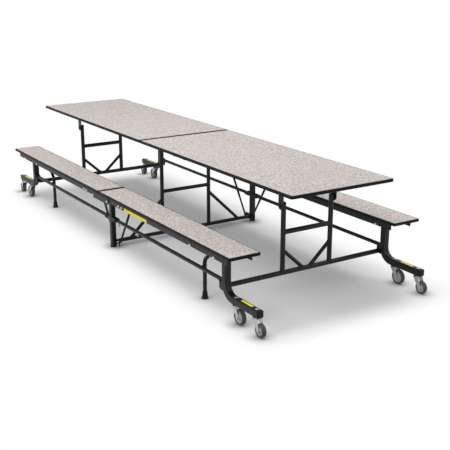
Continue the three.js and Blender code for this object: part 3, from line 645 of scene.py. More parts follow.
def powder_coat(colours):
    """Powder-coated steel: a satin black skin with faint orange peel, rubbed brighter along its edges."""
    finish, tree, shader, place = blank_finish("powder_coat", Specular_IOR_Level=0.28)
    cloud = add_node(tree, "ShaderNodeTexNoise", {"Vector": place, "Scale": per_metre(40), "Detail": 4.0})
    gloss = add_node(
        tree, "ShaderNodeMapRange", {"Value": cloud.outputs["Fac"], "To Min": 0.34, "To Max": 0.48},
    )
    tree.links.new(gloss.outputs["Result"], shader.inputs["Roughness"])
    rounded = add_node(tree, "ShaderNodeBevel", {"Radius": 1.4 * MM}, samples=4)
    plain = add_node(tree, "ShaderNodeNewGeometry")
    turn = add_node(
        tree, "ShaderNodeVectorMath", {0: rounded.outputs["Normal"], 1: plain.outputs["Normal"]},
        operation="DOT_PRODUCT",
    )
    edge = add_node(
        tree, "ShaderNodeMapRange",
        {"Value": turn.outputs["Value"], "From Min": 0.99, "From Max": 0.88, "To Max": 0.55},
    )
    rub = add_node(
        tree, "ShaderNodeMath", {0: edge.outputs["Result"], 1: cloud.outputs["Fac"]}, operation="MULTIPLY",
    )
    tint = add_node(tree, "ShaderNodeMix", data_type="RGBA")
    tint.inputs["A"].default_value = (*colours.coat, 1.0)
    tint.inputs["B"].default_value = (*colours.coat_worn, 1.0)
    tree.links.new(rub.outputs["Value"], tint.inputs["Factor"])
    tree.links.new(tint.outputs["Result"], shader.inputs["Base Color"])
    peel = add_node(tree, "ShaderNodeTexNoise", {"Vector": place, "Scale": per_metre(2.5), "Detail": 2.0})
    bump = add_node(
        tree, "ShaderNodeBump", {"Height": peel.outputs["Fac"], "Strength": 0.12, "Distance": 0.3 * MM},
    )
    tree.links.new(bump.outputs["Normal"], shader.inputs["Normal"])
    return finish


def moulded(name, rgb, grain, roughness, shine):
    """Moulded plastic or rubber: one colour with a fine cast grain and patches that shine a little more."""
    finish, tree, shader, place = blank_finish(name, Specular_IOR_Level=shine)
    cloud = add_node(tree, "ShaderNodeTexNoise", {"Vector": place, "Scale": per_metre(18), "Detail": 4.0})
    stops = [(0.25, [c * 0.86 for c in rgb]), (0.75, [min(c * 1.1, 1.0) for c in rgb])]
    ramp = add_node(tree, "ShaderNodeValToRGB", {"Fac": cloud.outputs["Fac"]}, stops)
    tree.links.new(ramp.outputs["Color"], shader.inputs["Base Color"])
    gloss = add_node(
        tree, "ShaderNodeMapRange",
        {"Value": cloud.outputs["Fac"], "To Min": roughness - 0.08, "To Max": roughness + 0.08},
    )
    tree.links.new(gloss.outputs["Result"], shader.inputs["Roughness"])
    tooth = add_node(tree, "ShaderNodeTexNoise", {"Vector": place, "Scale": per_metre(grain), "Detail": 2.0})
    bump = add_node(
        tree, "ShaderNodeBump", {"Height": tooth.outputs["Fac"], "Strength": 0.15, "Distance": 0.2 * MM},
    )
    tree.links.new(bump.outputs["Normal"], shader.inputs["Normal"])
    return finish


def bright_zinc(name, base):
    """Bright zinc plate on pressed steel: a soft grey mirror, clouded where the plating ran thin."""
    finish, tree, shader, place = blank_finish(name, Metallic=1.0)
    cloud = add_node(tree, "ShaderNodeTexNoise", {"Vector": place, "Scale": per_metre(9), "Detail": 5.0})
    stops = [(0.3, [c * 0.82 for c in base]), (0.7, base)]
    ramp = add_node(tree, "ShaderNodeValToRGB", {"Fac": cloud.outputs["Fac"]}, stops)
    tree.links.new(ramp.outputs["Color"], shader.inputs["Base Color"])
    gloss = add_node(
        tree, "ShaderNodeMapRange", {"Value": cloud.outputs["Fac"], "To Min": 0.22, "To Max": 0.42},
    )
    tree.links.new(gloss.outputs["Result"], shader.inputs["Roughness"])
    return finish


FINISH = {}


def make_finishes(colours):
    """Every finish of the table, made once."""
    FINISH["table_top"] = speckled_laminate("speckled_table_laminate", colours, 1.0)
    # The seats' laminate is painted paler than the table's, to make up for the shade that the table top casts
    # on the seats
    FINISH["bench_seat"] = speckled_laminate("speckled_seat_laminate", colours, colours.seat_painted_light_level)
    FINISH["backer"] = backer_sheet(colours)
    FINISH["coat"] = powder_coat(colours)
    FINISH["zinc"] = bright_zinc("zinc_plate", colours.zinc[:])
    FINISH["bolt"] = bright_zinc("bright_zinc_bolts", colours.bolt[:])
    # Extruded vinyl and moulded plastic are a dull near-black, tread rubber a soft grey and the hubs a
    # smoother light grey. Each has the size of its cast grain in millimetres, its roughness and its shine
    for key, name, grain, roughness, shine in (
        ("edge", "moulded_edge_vinyl", 1.2, 0.5, 0.12),
        ("plastic", "moulded_black_plastic", 0.9, 0.5, 0.2),
        ("rubber", "grey_tread_rubber", 1.1, 0.62, 0.3),
        ("hub", "light_hub_plastic", 0.9, 0.45, 0.3),
        ("strip", "fluorescent_yellow_vinyl", 1.0, 0.4, 0.3),
    ):
        FINISH[key] = moulded(name, getattr(colours, key)[:], grain, roughness, shine)
    # Painted glow: the strips give back a little light of their own, so that they show brighter than the
    # lamps make them
    shader = FINISH["strip"].node_tree.nodes["Principled BSDF"]
    shader.inputs["Emission Color"].default_value = (*colours.strip, 1.0)
    shader.inputs["Emission Strength"].default_value = 0.22


# Panels
def half_outline(low, high, inset, seam, corner):
    """Plan of a near half panel, drawn in from its edge."""
    return rounded_rectangle(
        low.x + inset, high.x - inset, low.y + inset, high.y - inset,
        max(seam - inset, LEAST), max(corner - inset, LEAST),
    )


def panel_core(node, seam, corner, band, finish):
    """Laminate core, its underside a backer sheet."""
    low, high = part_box(node)
    outline = half_outline(low, high, 0.0, seam - band, corner - band)
    mesh = prism(outline, "Z", low.z, high.z)
    mesh.materials.append(finish)
    mesh.materials.append(FINISH["backer"])
    for face in mesh.polygons:
        face.material_index = 1 if face.normal.z < -0.5 else 0
    return mesh


def panel_band(node, seam, corner, band, round_off):
    """Moulded band round a half panel, with a bullnose outside."""
    low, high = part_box(node)
    quarter = [math.radians(90 * i / BAND_STEPS) for i in range(BAND_STEPS + 1)]
    profile = [(band, low.z), (band, high.z)]
    profile += [(round_off * (1 - math.sin(a)), high.z - round_off * (1 - math.cos(a))) for a in quarter]
    profile += [(round_off * (1 - math.cos(a)), low.z + round_off * (1 - math.sin(a))) for a in quarter]
    rings = [
        [Vector((x, y, z)) for x, y in half_outline(low, high, inset, seam, corner)] for inset, z in profile
    ]
    return loft(rings, loop=True)


def seam_lip(node, lip):
    """Thin lip of the band that laps over the laminate along the seam."""
    low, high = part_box(node)
    inset = LEAST + 1 * MM
    return box((low.x, low.y + inset, high.z - LEAST), (low.x + lip, high.y - inset, high.z + 2 * LEAST))


# Frames
def hinge_bracket(x, face, end, frames, tubes):
    """Tapered plate that hangs from the underframe to a table pivot."""
    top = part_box("table_underframe_near")[1].z - frames.side_rail_depth / 2
    half = frames.bracket_top / 2
    outline = [(x + half, top), (x - half, top)]
    outline += arc(x, END_PIVOT.z, end, 180, 360, CURVE_STEPS)
    return prism(outline, "Y", face, face + frames.bracket, tubes.plate_edge)


def table_underframe(frames, tubes):
    """Underframe of the near half: side rails, cross rails and hinge brackets."""
    low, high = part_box("table_underframe_near")
    half = frames.side_rail / 2
    line, rail_low = high.y - half, high.z - frames.side_rail_depth
    ends = (
        (END_PIVOT.x, frames.end_leg + tubes.end_tube / 2 + tubes.play, frames.bracket_end),
        (CENTRE_PIVOT.x, frames.hinge_line + frames.hinge / 2 + tubes.play, frames.hinge_end),
    )
    shapes = []
    for side in (-1, 1):
        y = side * line
        section = rounded_rectangle(y - half, y + half, rail_low, high.z, tubes.bar_corner)
        shapes.append(prism(section, "X", low.x, high.x, tubes.plate_edge))
        for x, face, end in ends:
            shapes.append(hinge_bracket(x, face if side > 0 else -face - frames.bracket, end, frames, tubes))
    rail = frames.cross_rail
    for i in range(4):
        x = low.x + rail + (high.x - low.x - 2 * rail) * i / 3
        section = rounded_rectangle(x - rail / 2, x + rail / 2, high.z - rail, high.z, tubes.bar_corner)
        shapes.append(prism(section, "Y", -line, line))
    reach = high.y + half
    holes = [
        rod((x, -reach, END_PIVOT.z), (x, reach, END_PIVOT.z), tubes.pin + 2 * tubes.play) for x, _, _ in ends
    ]
    return fuse(shapes, holes)


def end_frame(frames, tubes):
    """Welded end frame of the near half: legs, bars, V brace and table pivots."""
    low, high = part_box("end_frame_near")
    x, leg, bead = END_PIVOT.x, tubes.end_tube, tubes.bead
    bar_z, bar_end = low.z + leg / 2, high.y
    across, upright = (0, 1, 0), (0, 0, 1)
    shapes = [
        rod((x, -bar_end, bar_z), (x, bar_end, bar_z), leg),
        rod((x, -frames.end_leg, frames.end_middle), (x, frames.end_leg, frames.end_middle), leg),
    ]
    for side in (-1, 1):
        y = side * frames.end_leg
        foot = (x, side * frames.end_brace_foot, bar_z)
        start = (x, y, frames.end_brace)
        middle = (x, 0, frames.end_middle)
        pin_end = side * (frames.end_leg + leg / 2 + frames.bracket + 2 * tubes.play)
        shapes += [
            rod((x, y, bar_z), (x, y, high.z), leg, 3 * MM),
            rod(start, foot, tubes.brace),
            rod((x, y, END_PIVOT.z), (x, pin_end, END_PIVOT.z), tubes.pin),
            weld((x, 0, bar_z), across, leg, (x, y, high.z), (x, y, bar_z), leg, bead),
            weld((x, y, bar_z), upright, leg, middle, (x, y, frames.end_middle), leg, bead),
            weld((x, y, bar_z), upright, leg, foot, start, tubes.brace, bead),
            weld((x, 0, bar_z), across, leg, start, foot, tubes.brace, bead),
        ]
    return fuse(shapes)


def caster_post(posts, frames, tubes, benches):
    """Post that stands inside the bench rail and curves out into the foot over two casters."""
    x, y, top = BENCH_PIVOT
    half, width = posts.tube / 2, posts.width / 2
    foot_top = posts.caster_height + posts.tube
    bend_x, bend_z = x + half + posts.bend, foot_top + posts.bend
    tip = x + posts.reach
    outline = arc(bend_x, bend_z, posts.bend + posts.tube, 180, 270, BEND_STEPS)
    outline += [(tip, posts.caster_height), (tip, foot_top)]
    outline += arc(bend_x, bend_z, posts.bend, 270, 180, BEND_STEPS)
    outline += arc(x, top, half, 0, 180, BEND_STEPS)
    tube = prism(outline, "Y", y - width, y + width, posts.corner, steps=4)
    pivot_x, pivot_z, end = RAIL_PIVOT.x, RAIL_PIVOT.z, frames.lug_end
    low = pivot_z - posts.gusset_drop
    gusset = [(x, low), (x, pivot_z + end)] + arc(pivot_x, pivot_z, end, 90, 180)
    gusset += [(pivot_x - end, low + end), (pivot_x, low)]
    inner = tubes.lower_rail / 2 + tubes.play
    outer = inner + frames.lug
    reach = benches.rail / 2 + 2 * MM
    return fuse([
        tube,
        prism(gusset, "Y", y + inner, y + outer, tubes.plate_edge),
        prism(gusset, "Y", y - outer, y - inner, tubes.plate_edge),
        rod((pivot_x, y - outer, pivot_z), (pivot_x, y + outer, pivot_z), tubes.small_pin),
        rod((x, y - reach, top), (x, y + reach, top), tubes.pin),
    ])


def foot_cap(posts):
    """Plastic cap over the tip of a foot, chamfered all round its end."""
    tip, y = BENCH_PIVOT.x + posts.reach, BENCH_Y
    low, high, half = posts.caster_height, posts.caster_height + posts.tube, posts.width / 2
    rings = []
    for along, inset in (*CAP_RINGS, (posts.cap, CAP_END)):
        section = rounded_rectangle(
            y - half + inset, y + half - inset, low + max(inset, 0.0), high - inset, posts.corner - inset / 2,
        )
        rings.append([Vector((tip + along, a, b)) for a, b in section])
    return loft(rings)


def t_head(pivot_x, pivot_z, radius, leg_half, low):
    """Outline of a T head that carries two pivots over a leg."""
    right = curve((leg_half, low), (leg_half, pivot_z - radius), (pivot_x, pivot_z - radius))
    right += arc(pivot_x, pivot_z, radius, -90, 90)[1:]
    left = [(-a, b) for a, b in reversed(right)]
    return right + left


def link(pivot_x, pivot_z, radius):
    """Outline of a plate with a round end about each of two pivots."""
    return arc(pivot_x, pivot_z, radius, -90, 90) + arc(-pivot_x, pivot_z, radius, 90, 270)


def hinge_plate(pivot_x, pivot_z, radius, neck, top):
    """Outline of a plate that hangs from the hinge bar and carries the table's two centre pivots."""
    right = arc(pivot_x, pivot_z, radius, -90, 90)
    right += curve((pivot_x, pivot_z + radius), (neck, pivot_z + radius), (neck, top))[1:]
    return right + [(-a, b) for a, b in reversed(right)]


def centre_bench_leg(frames, tubes, benches):
    """Shapes of the back bench's centre leg: tube, head, yoke plates, lugs and strut plate."""
    y, bench_x = BENCH_Y, BENCH_CENTRE_X
    half_x, half_y = frames.bench_leg_x / 2, frames.bench_leg_y / 2
    radius = frames.bench_head_radius
    glide_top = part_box("centre_glide_back")[1].z
    section = rounded_rectangle(-half_x, half_x, y - half_y, y + half_y, frames.bench_leg_corner)
    head = t_head(bench_x, BENCH_PIVOT.z, radius, half_x, BENCH_PIVOT.z - radius - frames.bench_head_flare)
    lug_x = bench_x - RAIL_IN
    gap = tubes.lower_rail / 2 + tubes.play
    yoke_near = benches.rail / 2 + tubes.play
    yoke_far, lug_far = yoke_near + frames.bench_head, gap + frames.lug
    plates = [
        (head, half_y - 1 * MM, half_y + frames.bench_head),
        (link(bench_x, BENCH_PIVOT.z, frames.yoke_radius), yoke_near, yoke_far),
        (link(lug_x, RAIL_PIVOT.z, frames.lug_end), gap, lug_far),
    ]
    edge = tubes.plate_edge
    plate_x, plate_y, plate_z = benches.strut_foot_x + STRUT_PLATE_PAST, y - half_y, benches.strut_foot_z
    plate_low = (-plate_x, plate_y - STRUT_PLATE_HALF, plate_z - STRUT_PLATE_DROP)
    plate_high = (plate_x, plate_y + STRUT_PLATE_HALF, plate_z + STRUT_PLATE_RISE)
    shapes = [
        prism(section, "Z", glide_top, BENCH_PIVOT.z + radius, edge),
        box(plate_low, plate_high, edge),
    ]
    for outline, near, far in plates:
        shapes += [prism(outline, "Y", y + near, y + far, edge), prism(outline, "Y", y - far, y - near, edge)]
    boss_end = STRUT_TOP.y + benches.strut_eye_thick / 2 + tubes.play
    for side in (-1, 1):
        pivot_x, boss_x, rail_x = side * bench_x, side * benches.strut_foot_x, side * lug_x
        shapes += [
            rod((pivot_x, y - yoke_far, BENCH_PIVOT.z), (pivot_x, y + yoke_far, BENCH_PIVOT.z), tubes.pin),
            rod((rail_x, y - lug_far, RAIL_PIVOT.z), (rail_x, y + lug_far, RAIL_PIVOT.z), tubes.small_pin),
            rod((boss_x, plate_y, plate_z), (boss_x, boss_end, plate_z), STRUT_BOSS, 1 * MM),
        ]
    return shapes


def centre_frame(frames, tubes, benches):
    """Welded centre frame: bench legs, table legs, bars, braces, a hook and the table's centre hinge."""
    leg, bar, bead, low_z = tubes.leg, tubes.middle_bar, tubes.bead, frames.centre_low
    reach, line = BENCH_Y - frames.bench_leg_y / 4, frames.centre_leg
    across, upright = (0, 1, 0), (0, 0, 1)
    pivot_x, pivot_z = CENTRE_PIVOT.x, CENTRE_PIVOT.z
    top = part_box("centre_frame")[1].z
    bars = (frames.centre_middle, top - bar / 2)
    plate = hinge_plate(pivot_x, pivot_z, frames.hinge_radius, leg / 2, bars[1])
    shapes = [rod((0, -reach, low_z), (0, reach, low_z), leg)]
    shapes += [rod((0, -line, z), (0, line, z), bar) for z in bars]
    bench_leg = fuse(centre_bench_leg(frames, tubes, benches))
    half = frames.hinge / 2
    for side in (-1, 1):
        y, plate_y = side * line, side * frames.hinge_line
        start, foot = (0, y, frames.centre_brace), (0, side * frames.centre_brace_foot, low_z)
        pin_end = side * (frames.hinge_line + half + frames.bracket + 2 * tubes.play)
        shapes += [
            on_side(bench_leg, 1, side),
            rod((0, y, low_z), (0, y, top), leg, 2 * MM),
            rod(start, foot, tubes.brace),
            prism(plate, "Y", plate_y - half, plate_y + half, tubes.plate_edge),
            weld((0, 0, low_z), across, leg, (0, y, top), (0, y, low_z), leg, bead),
            weld((0, y, low_z), upright, leg, foot, start, tubes.brace, bead),
            weld((0, 0, low_z), across, leg, start, foot, tubes.brace, bead),
        ]
        shapes += [weld((0, y, low_z), upright, leg, (0, 0, z), (0, y, z), bar, bead) for z in bars]
        shapes += [rod((x, plate_y, pivot_z), (x, pin_end, pivot_z), tubes.pin) for x in (-pivot_x, pivot_x)]
    hook_x, hook_low = BENCH_CENTRE_X - RAIL_IN - HOOK_IN, RAIL_PIVOT.z - HOOK_DROP
    hook_y = tubes.lower_rail / 2 + tubes.play + frames.lug + 2 * MM - BENCH_Y
    knee, tip = (hook_x + 2 * MM, hook_y, hook_low + 2 * MM), (hook_x - 12 * MM, hook_y, hook_low + 6 * MM)
    shapes += [
        rod((hook_x, hook_y, RAIL_PIVOT.z), (hook_x, hook_y, hook_low), HOOK, 1 * MM),
        rod(knee, tip, HOOK, 1 * MM),
    ]
    return fuse(shapes)


# Casters
def caster_fork(stem, axle, casters, posts):
    """Fork of a near back caster: crown with its ball race, two legs, axle, stem and domed nut."""
    x, y = stem.x, stem.y
    top = posts.caster_height - 0.5 * MM
    under = top - casters.crown_thick
    crown = casters.crown / 2
    race = [
        (0, under - 1 * MM), (crown - 3 * MM, under - 1 * MM), (crown - 1 * MM, under),
        (crown, under + 1.5 * MM), (crown, under + 3.2 * MM), (crown - 2.6 * MM, under + 3.8 * MM),
        (crown - 2.6 * MM, under + 4.6 * MM), (crown, under + 5.2 * MM), (crown, top - 0.6 * MM),
        (crown - 0.6 * MM, top), (0, top),
    ]
    foot_top = posts.caster_height + posts.tube
    nut_half, skirt = casters.nut / 2, 1.8 * MM
    dome = [(0, foot_top + LEAST), (nut_half, foot_top + LEAST), (nut_half, foot_top + skirt)]
    rise = casters.nut_rise - skirt
    dome += [(a * casters.nut * 0.45, foot_top + skirt + b * rise) for a, b in arc(0, 0, 1.0, 0, 90, 6)]
    inner = casters.tread / 2 + 1 * MM
    wide, end = casters.fork_wide / 2, casters.fork_end
    leg = [(x - wide, under + 4 * MM)]
    leg += arc(axle.x, axle.z, end, 190, 355, CURVE_STEPS)
    leg += [(x + wide, under + 4 * MM)]
    reach = inner + casters.plate + 5 * MM
    nut = [(axle.x + a, axle.z + b) for a, b in circle(AXLE_NUT, 6)]
    shapes = [
        spin(race, (x, y, 0), (0, 0, 1), TURNED_SIDES),
        spin(dome, (x, y, 0), (0, 0, 1), TURNED_SIDES),
        rod((x, y, under), (x, y, foot_top + 1 * MM), casters.stem),
        rod((axle.x, y - reach, axle.z), (axle.x, y + reach, axle.z), casters.axle, 1 * MM),
    ]
    for side in (-1, 1):
        faces = sorted((y + side * inner, y + side * (inner + casters.plate)))
        shapes.append(prism(leg, "Y", *faces, 1 * MM, steps=2))
        heads = sorted((y + side * (inner + casters.plate - 0.5 * MM), y + side * (reach - 1 * MM)))
        shapes.append(prism(nut, "Y", *heads, 0.6 * MM, steps=1))
    return fuse(shapes)


def caster_wheel(axle, casters):
    """Wheel of a near back caster: rubber tyre with round shoulders on a dished hub."""
    radius, half = axle.z, casters.tread / 2
    rim, shoulder = radius - casters.tyre, casters.shoulder
    side = [(rim + 0.5 * MM, half - 3 * MM), (rim + 3 * MM, half - 0.6 * MM)]
    side += [(radius - shoulder + a, half - shoulder + b) for a, b in arc(0, 0, shoulder, 90, 8, 7)]
    tyre = side + [(r, -h) for r, h in reversed(side)]
    hub, bore = casters.hub / 2, casters.axle / 2 + 0.4 * MM
    dish = half - 6 * MM
    face = [
        (bore, half), (hub - 5 * MM, half), (hub - 2 * MM, half - 0.8 * MM), (hub, half - 3 * MM),
        (hub + 1.5 * MM, dish), (rim - 4 * MM, dish - 1 * MM), (rim - 1.5 * MM, half - 4 * MM),
        (rim + 1 * MM, half - 4 * MM),
    ]
    core = face + [(r, -h) for r, h in reversed(face)]
    tread = spin(tyre, axle, (0, 1, 0), WHEEL_SIDES, loop=True)
    tread.materials.append(FINISH["rubber"])
    centre = spin(core, axle, (0, 1, 0), WHEEL_SIDES, loop=True)
    centre.materials.append(FINISH["hub"])
    return tread, centre


# Benches
def bench_rail(benches, tubes, with_support):
    """Wide channel under the near half of the back bench, with its ties, strut lug and stud."""
    low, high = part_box("bench_rail_back_near")
    y, half, wall, edge = BENCH_Y, benches.rail / 2, benches.wall, tubes.plate_edge
    bottom, under, inner = high.z - benches.rail_depth, high.z - wall, half - wall
    hollow = box((low.x - wall, y - inner, bottom - wall), (high.x + wall, y + inner, under))
    shapes = [fuse([box((low.x, y - half, bottom), (high.x, y + half, high.z), 2 * edge)], [hollow])]
    wide, reach = benches.tie / 2, inner + wall / 2
    for x in TIE_PLACES:
        tie_low, tie_high = (x - wide, y - reach, bottom + wall), (x + wide, y + reach, bottom + 2 * wall)
        shapes.append(box(tie_low, tie_high, edge / 2))
    face, wide = y - benches.lug_inset, benches.lug / 2
    shapes.append(box(
        (STRUT_TOP.x - wide, face - benches.lug_plate, STRUT_TOP.z - wide),
        (STRUT_TOP.x + wide, face, under + wall / 2), edge,
    ))
    stud_end = STRUT_TOP.y - benches.strut_eye_thick / 2 - tubes.play
    stud = (STRUT_TOP.x, face - benches.lug_plate / 2, STRUT_TOP.z)
    shapes.append(rod(stud, (STRUT_TOP.x, stud_end, STRUT_TOP.z), benches.strut_pin))
    shapes.append(rod(
        (STRUT_TOP.x, stud_end, STRUT_TOP.z), (STRUT_TOP.x, stud_end - STUD_HEAD, STRUT_TOP.z),
        2 * benches.strut_pin, HEAD_CHAMFER,
    ))
    hole = tubes.pin + 2 * tubes.play
    holes = [
        rod((x, y - benches.rail, BENCH_PIVOT.z), (x, y + benches.rail, BENCH_PIVOT.z), hole)
        for x in (BENCH_CENTRE_X, BENCH_PIVOT.x)
    ]
    if with_support:
        x = SUPPORT_PIVOT.x
        holes.append(rod(
            (x, y - benches.rail, BENCH_PIVOT.z), (x, y, BENCH_PIVOT.z), tubes.small_pin + 2 * tubes.play,
        ))
    return fuse(shapes, holes)


def lower_rail(tubes, with_support):
    """Tube from the post's gussets to the centre leg's lugs."""
    y, z, past, wide = BENCH_Y, RAIL_PIVOT.z, tubes.rail_past, tubes.lower_rail
    pivots = [BENCH_CENTRE_X - RAIL_IN, RAIL_PIVOT.x]
    tube = rod((pivots[0] - past, y, z), (pivots[1] + past, y, z), wide, 2.5 * MM)
    if with_support:
        pivots.append(SUPPORT_PIVOT.x - RAIL_IN)
    hole = tubes.small_pin + 2 * tubes.play
    return fuse([tube], [rod((x, y - wide, z), (x, y + wide, z), hole) for x in pivots])


def support_leg(benches, tubes):
    """Bent leg of the near half, made on the back side: tube, snap buttons and two pivot pins."""
    y, top_x, top_z = -SUPPORT_PIVOT.y, SUPPORT_PIVOT.x, SUPPORT_PIVOT.z
    x, bend = top_x - RAIL_IN, benches.support_bend
    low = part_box("support_leg_near")[0].z
    path = [Vector((x, y, low)), Vector((x, y, bend))]
    over, level = benches.support_over, benches.support_straight
    start, end = path[-1], Vector((top_x, y, top_z))
    knee = Vector((top_x + over, y, level))
    a, b = start.lerp(Vector((x, y, level)), 0.6), knee.lerp(Vector((top_x + over, y, bend)), 0.5)
    for i in range(1, CURVE_STEPS + 1):
        t = i / CURVE_STEPS
        path.append(
            (1 - t) ** 3 * start + 3 * t * (1 - t) ** 2 * a + 3 * t * t * (1 - t) * b + t ** 3 * knee,
        )
    path.append(end)
    radius = tubes.support / 2
    path += [end + Vector((0, 0, radius - 2 * MM)), end + Vector((0, 0, radius))]
    scales = [1.0] * (len(path) - 1) + [0.82]
    flange = BENCH_Y - benches.rail / 2 - tubes.play
    rail_face = BENCH_Y + tubes.lower_rail / 2
    button, button_z = radius + 2.5 * MM, benches.button_z
    shapes = [
        sweep(circle(radius), path, Vector((0, 1, 0)), scales=scales),
        rod((top_x, y, top_z), (top_x, flange, top_z), tubes.small_pin),
        rod((top_x, flange, top_z), (top_x, flange - STUD_HEAD, top_z), 2 * tubes.small_pin, HEAD_CHAMFER),
        rod((x, y, RAIL_PIVOT.z), (x, rail_face + tubes.play, RAIL_PIVOT.z), tubes.small_pin),
        rod((x - button, y, button_z), (x + button, y, button_z), 8 * MM, 1.5 * MM, sides=16),
        rod((x, y, button_z - 3 * MM), (x, y, button_z + 3 * MM), 2 * radius + 2 * MM, HEAD_CHAMFER),
    ]
    return fuse(shapes)


def support_foot(benches, tubes):
    """Flared plastic foot that cups a support leg, made on the back side."""
    x, y = SUPPORT_PIVOT.x - RAIL_IN, -SUPPORT_PIVOT.y
    wide, rise, cup = benches.support_foot / 2, benches.support_foot_rise, tubes.support / 2 + 0.3 * MM
    neck, sole = cup + 3 * MM, 10 * MM
    flare = curve((wide, 6 * MM), (neck + 1 * MM, 14 * MM), (neck, rise - 1.5 * MM), 8)
    profile = [(0, 0), (wide - 1.5 * MM, 0), (wide, 1.5 * MM)] + flare
    profile += [(neck - 1 * MM, rise), (cup, rise), (cup, sole), (0, sole)]
    return spin(profile, (x, y, 0), (0, 0, 1), TURNED_SIDES)


def strut_point(benches, distance):
    """Point on a near back strut, at a distance from its top."""
    foot = Vector((benches.strut_foot_x, STRUT_TOP.y, benches.strut_foot_z))
    return STRUT_TOP + (foot - STRUT_TOP).normalized() * distance


def strut_eye(centre, benches, tubes):
    """Ring at a strut's end."""
    half, outer = benches.strut_eye_thick / 2, benches.strut_eye / 2
    hole = benches.strut_pin / 2 + tubes.play
    less = HEAD_CHAMFER
    profile = [
        (hole, -half), (outer - less, -half), (outer, less - half),
        (outer, half - less), (outer - less, half), (hole, half),
    ]
    return spin(profile, centre, (0, 1, 0), loop=True)


def strut_sleeve(benches, tubes):
    """Strut's sleeve that hangs on the rail's stud, open at its lower end."""
    start = benches.strut_eye / 2 - 1 * MM
    shoulder = benches.strut_eye - 4 * MM
    length, radius = benches.strut_sleeve, benches.strut / 2
    tube = rod(strut_point(benches, shoulder), strut_point(benches, length), benches.strut, 1.2 * MM)
    neck = rod(strut_point(benches, start), strut_point(benches, shoulder + radius), benches.strut_eye_thick)
    inside = rod(
        strut_point(benches, shoulder + radius), strut_point(benches, length + radius),
        benches.strut_rod + 2 * tubes.play,
    )
    return fuse([strut_eye(STRUT_TOP, benches, tubes), neck, tube], [inside])


def strut_rod(benches, tubes):
    """Strut's rod, with its eye beside the centre leg's boss."""
    foot = Vector((benches.strut_foot_x, STRUT_TOP.y, benches.strut_foot_z))
    whole = (foot - STRUT_TOP).length
    start = strut_point(benches, benches.strut_sleeve - 20 * MM)
    shaft = rod(start, strut_point(benches, whole - benches.strut_eye / 2 + 1 * MM), benches.strut_rod)
    return fuse([strut_eye(foot, benches, tubes), shaft])


def centre_glide():
    """Plastic glide under the back bench's centre leg."""
    low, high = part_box("centre_glide_back")
    radius, rise = (high.x - low.x) / 2, high.z
    profile = [
        (0, 0), (radius - 1.5 * MM, 0), (radius, 1.5 * MM), (radius, rise / 2),
        (radius - 2 * MM, rise), (0, rise),
    ]
    return spin(profile, (0, BENCH_Y, 0), (0, 0, 1), TURNED_SIDES)


# Hardware by geometry nodes
def tree_with_inputs(name, labels):
    """Empty geometry node tree with one length for each label, and a finish."""
    tree = bpy.data.node_groups.new(name, "GeometryNodeTree")
    sockets = tree.interface
    sockets.new_socket("Points", in_out="INPUT", socket_type="NodeSocketGeometry")
    for label in labels:
        sockets.new_socket(label, in_out="INPUT", socket_type="NodeSocketFloat")
    sockets.new_socket("Finish", in_out="INPUT", socket_type="NodeSocketMaterial")
    sockets.new_socket("Fasteners", in_out="OUTPUT", socket_type="NodeSocketGeometry")
    return tree


def put_on_points(tree, given, head):
    """Last part of a hardware tree: the head on every point, turned to the way that the point faces."""
    facing = add_node(tree, "GeometryNodeInputNamedAttribute", {"Name": "facing"}, data_type="FLOAT_VECTOR")
    turn = add_node(
        tree, "FunctionNodeAlignRotationToVector", {"Vector": facing.outputs["Attribute"]}, axis="Z",
    )
    spread = add_node(tree, "GeometryNodeInstanceOnPoints", {
        "Points": given.outputs["Points"], "Instance": head, "Rotation": turn.outputs["Rotation"],
    })
    real = add_node(tree, "GeometryNodeRealizeInstances", {"Geometry": spread.outputs["Instances"]})
    finish = add_node(tree, "GeometryNodeSetMaterial", {
        "Geometry": real.outputs["Geometry"], "Material": given.outputs["Finish"],
    })
    add_node(tree, "NodeGroupOutput", {"Fasteners": finish.outputs["Geometry"]})


def hexagon_bolts():
    """Tree that puts a washer and a hexagon head on every point."""
    tree = tree_with_inputs("hexagon_bolts", ("Corner", "Head", "Washer", "Thickness"))
    given = add_node(tree, "NodeGroupInput")
    parts = []
    kinds = ((20, "Washer", "Thickness", None), (6, "Corner", "Head", "Thickness"))
    for sides, radius, depth, below in kinds:
        solid = add_node(tree, "GeometryNodeMeshCylinder", {
            "Vertices": sides, "Radius": given.outputs[radius], "Depth": given.outputs[depth],
        })
        rise = add_node(tree, "ShaderNodeMath", {0: given.outputs[depth], 1: 0.5}, operation="MULTIPLY")
        if below:
            rise = add_node(
                tree, "ShaderNodeMath", {0: rise.outputs["Value"], 1: given.outputs[below]}, operation="ADD",
            )
        shift = add_node(tree, "ShaderNodeCombineXYZ", {"Z": rise.outputs["Value"]})
        parts.append(add_node(tree, "GeometryNodeTransform", {
            "Geometry": solid.outputs["Mesh"], "Translation": shift.outputs["Vector"],
        }))
    whole = add_node(tree, "GeometryNodeJoinGeometry")
    for part in parts:
        tree.links.new(part.outputs["Geometry"], whole.inputs["Geometry"])
    put_on_points(tree, given, whole.outputs["Geometry"])
    return tree


def pan_screws():
    """Tree that puts a domed screw head on every point."""
    tree = tree_with_inputs("pan_screws", ("Radius", "Rise"))
    given = add_node(tree, "NodeGroupInput")
    ball = add_node(tree, "GeometryNodeMeshUVSphere", {"Segments": 14, "Rings": 8, "Radius": 1.0})
    flat = add_node(tree, "ShaderNodeCombineXYZ", {
        "X": given.outputs["Radius"], "Y": given.outputs["Radius"], "Z": given.outputs["Rise"],
    })
    head = add_node(tree, "GeometryNodeTransform", {
        "Geometry": ball.outputs["Mesh"], "Scale": flat.outputs["Vector"],
    })
    put_on_points(tree, given, head.outputs["Geometry"])
    return tree


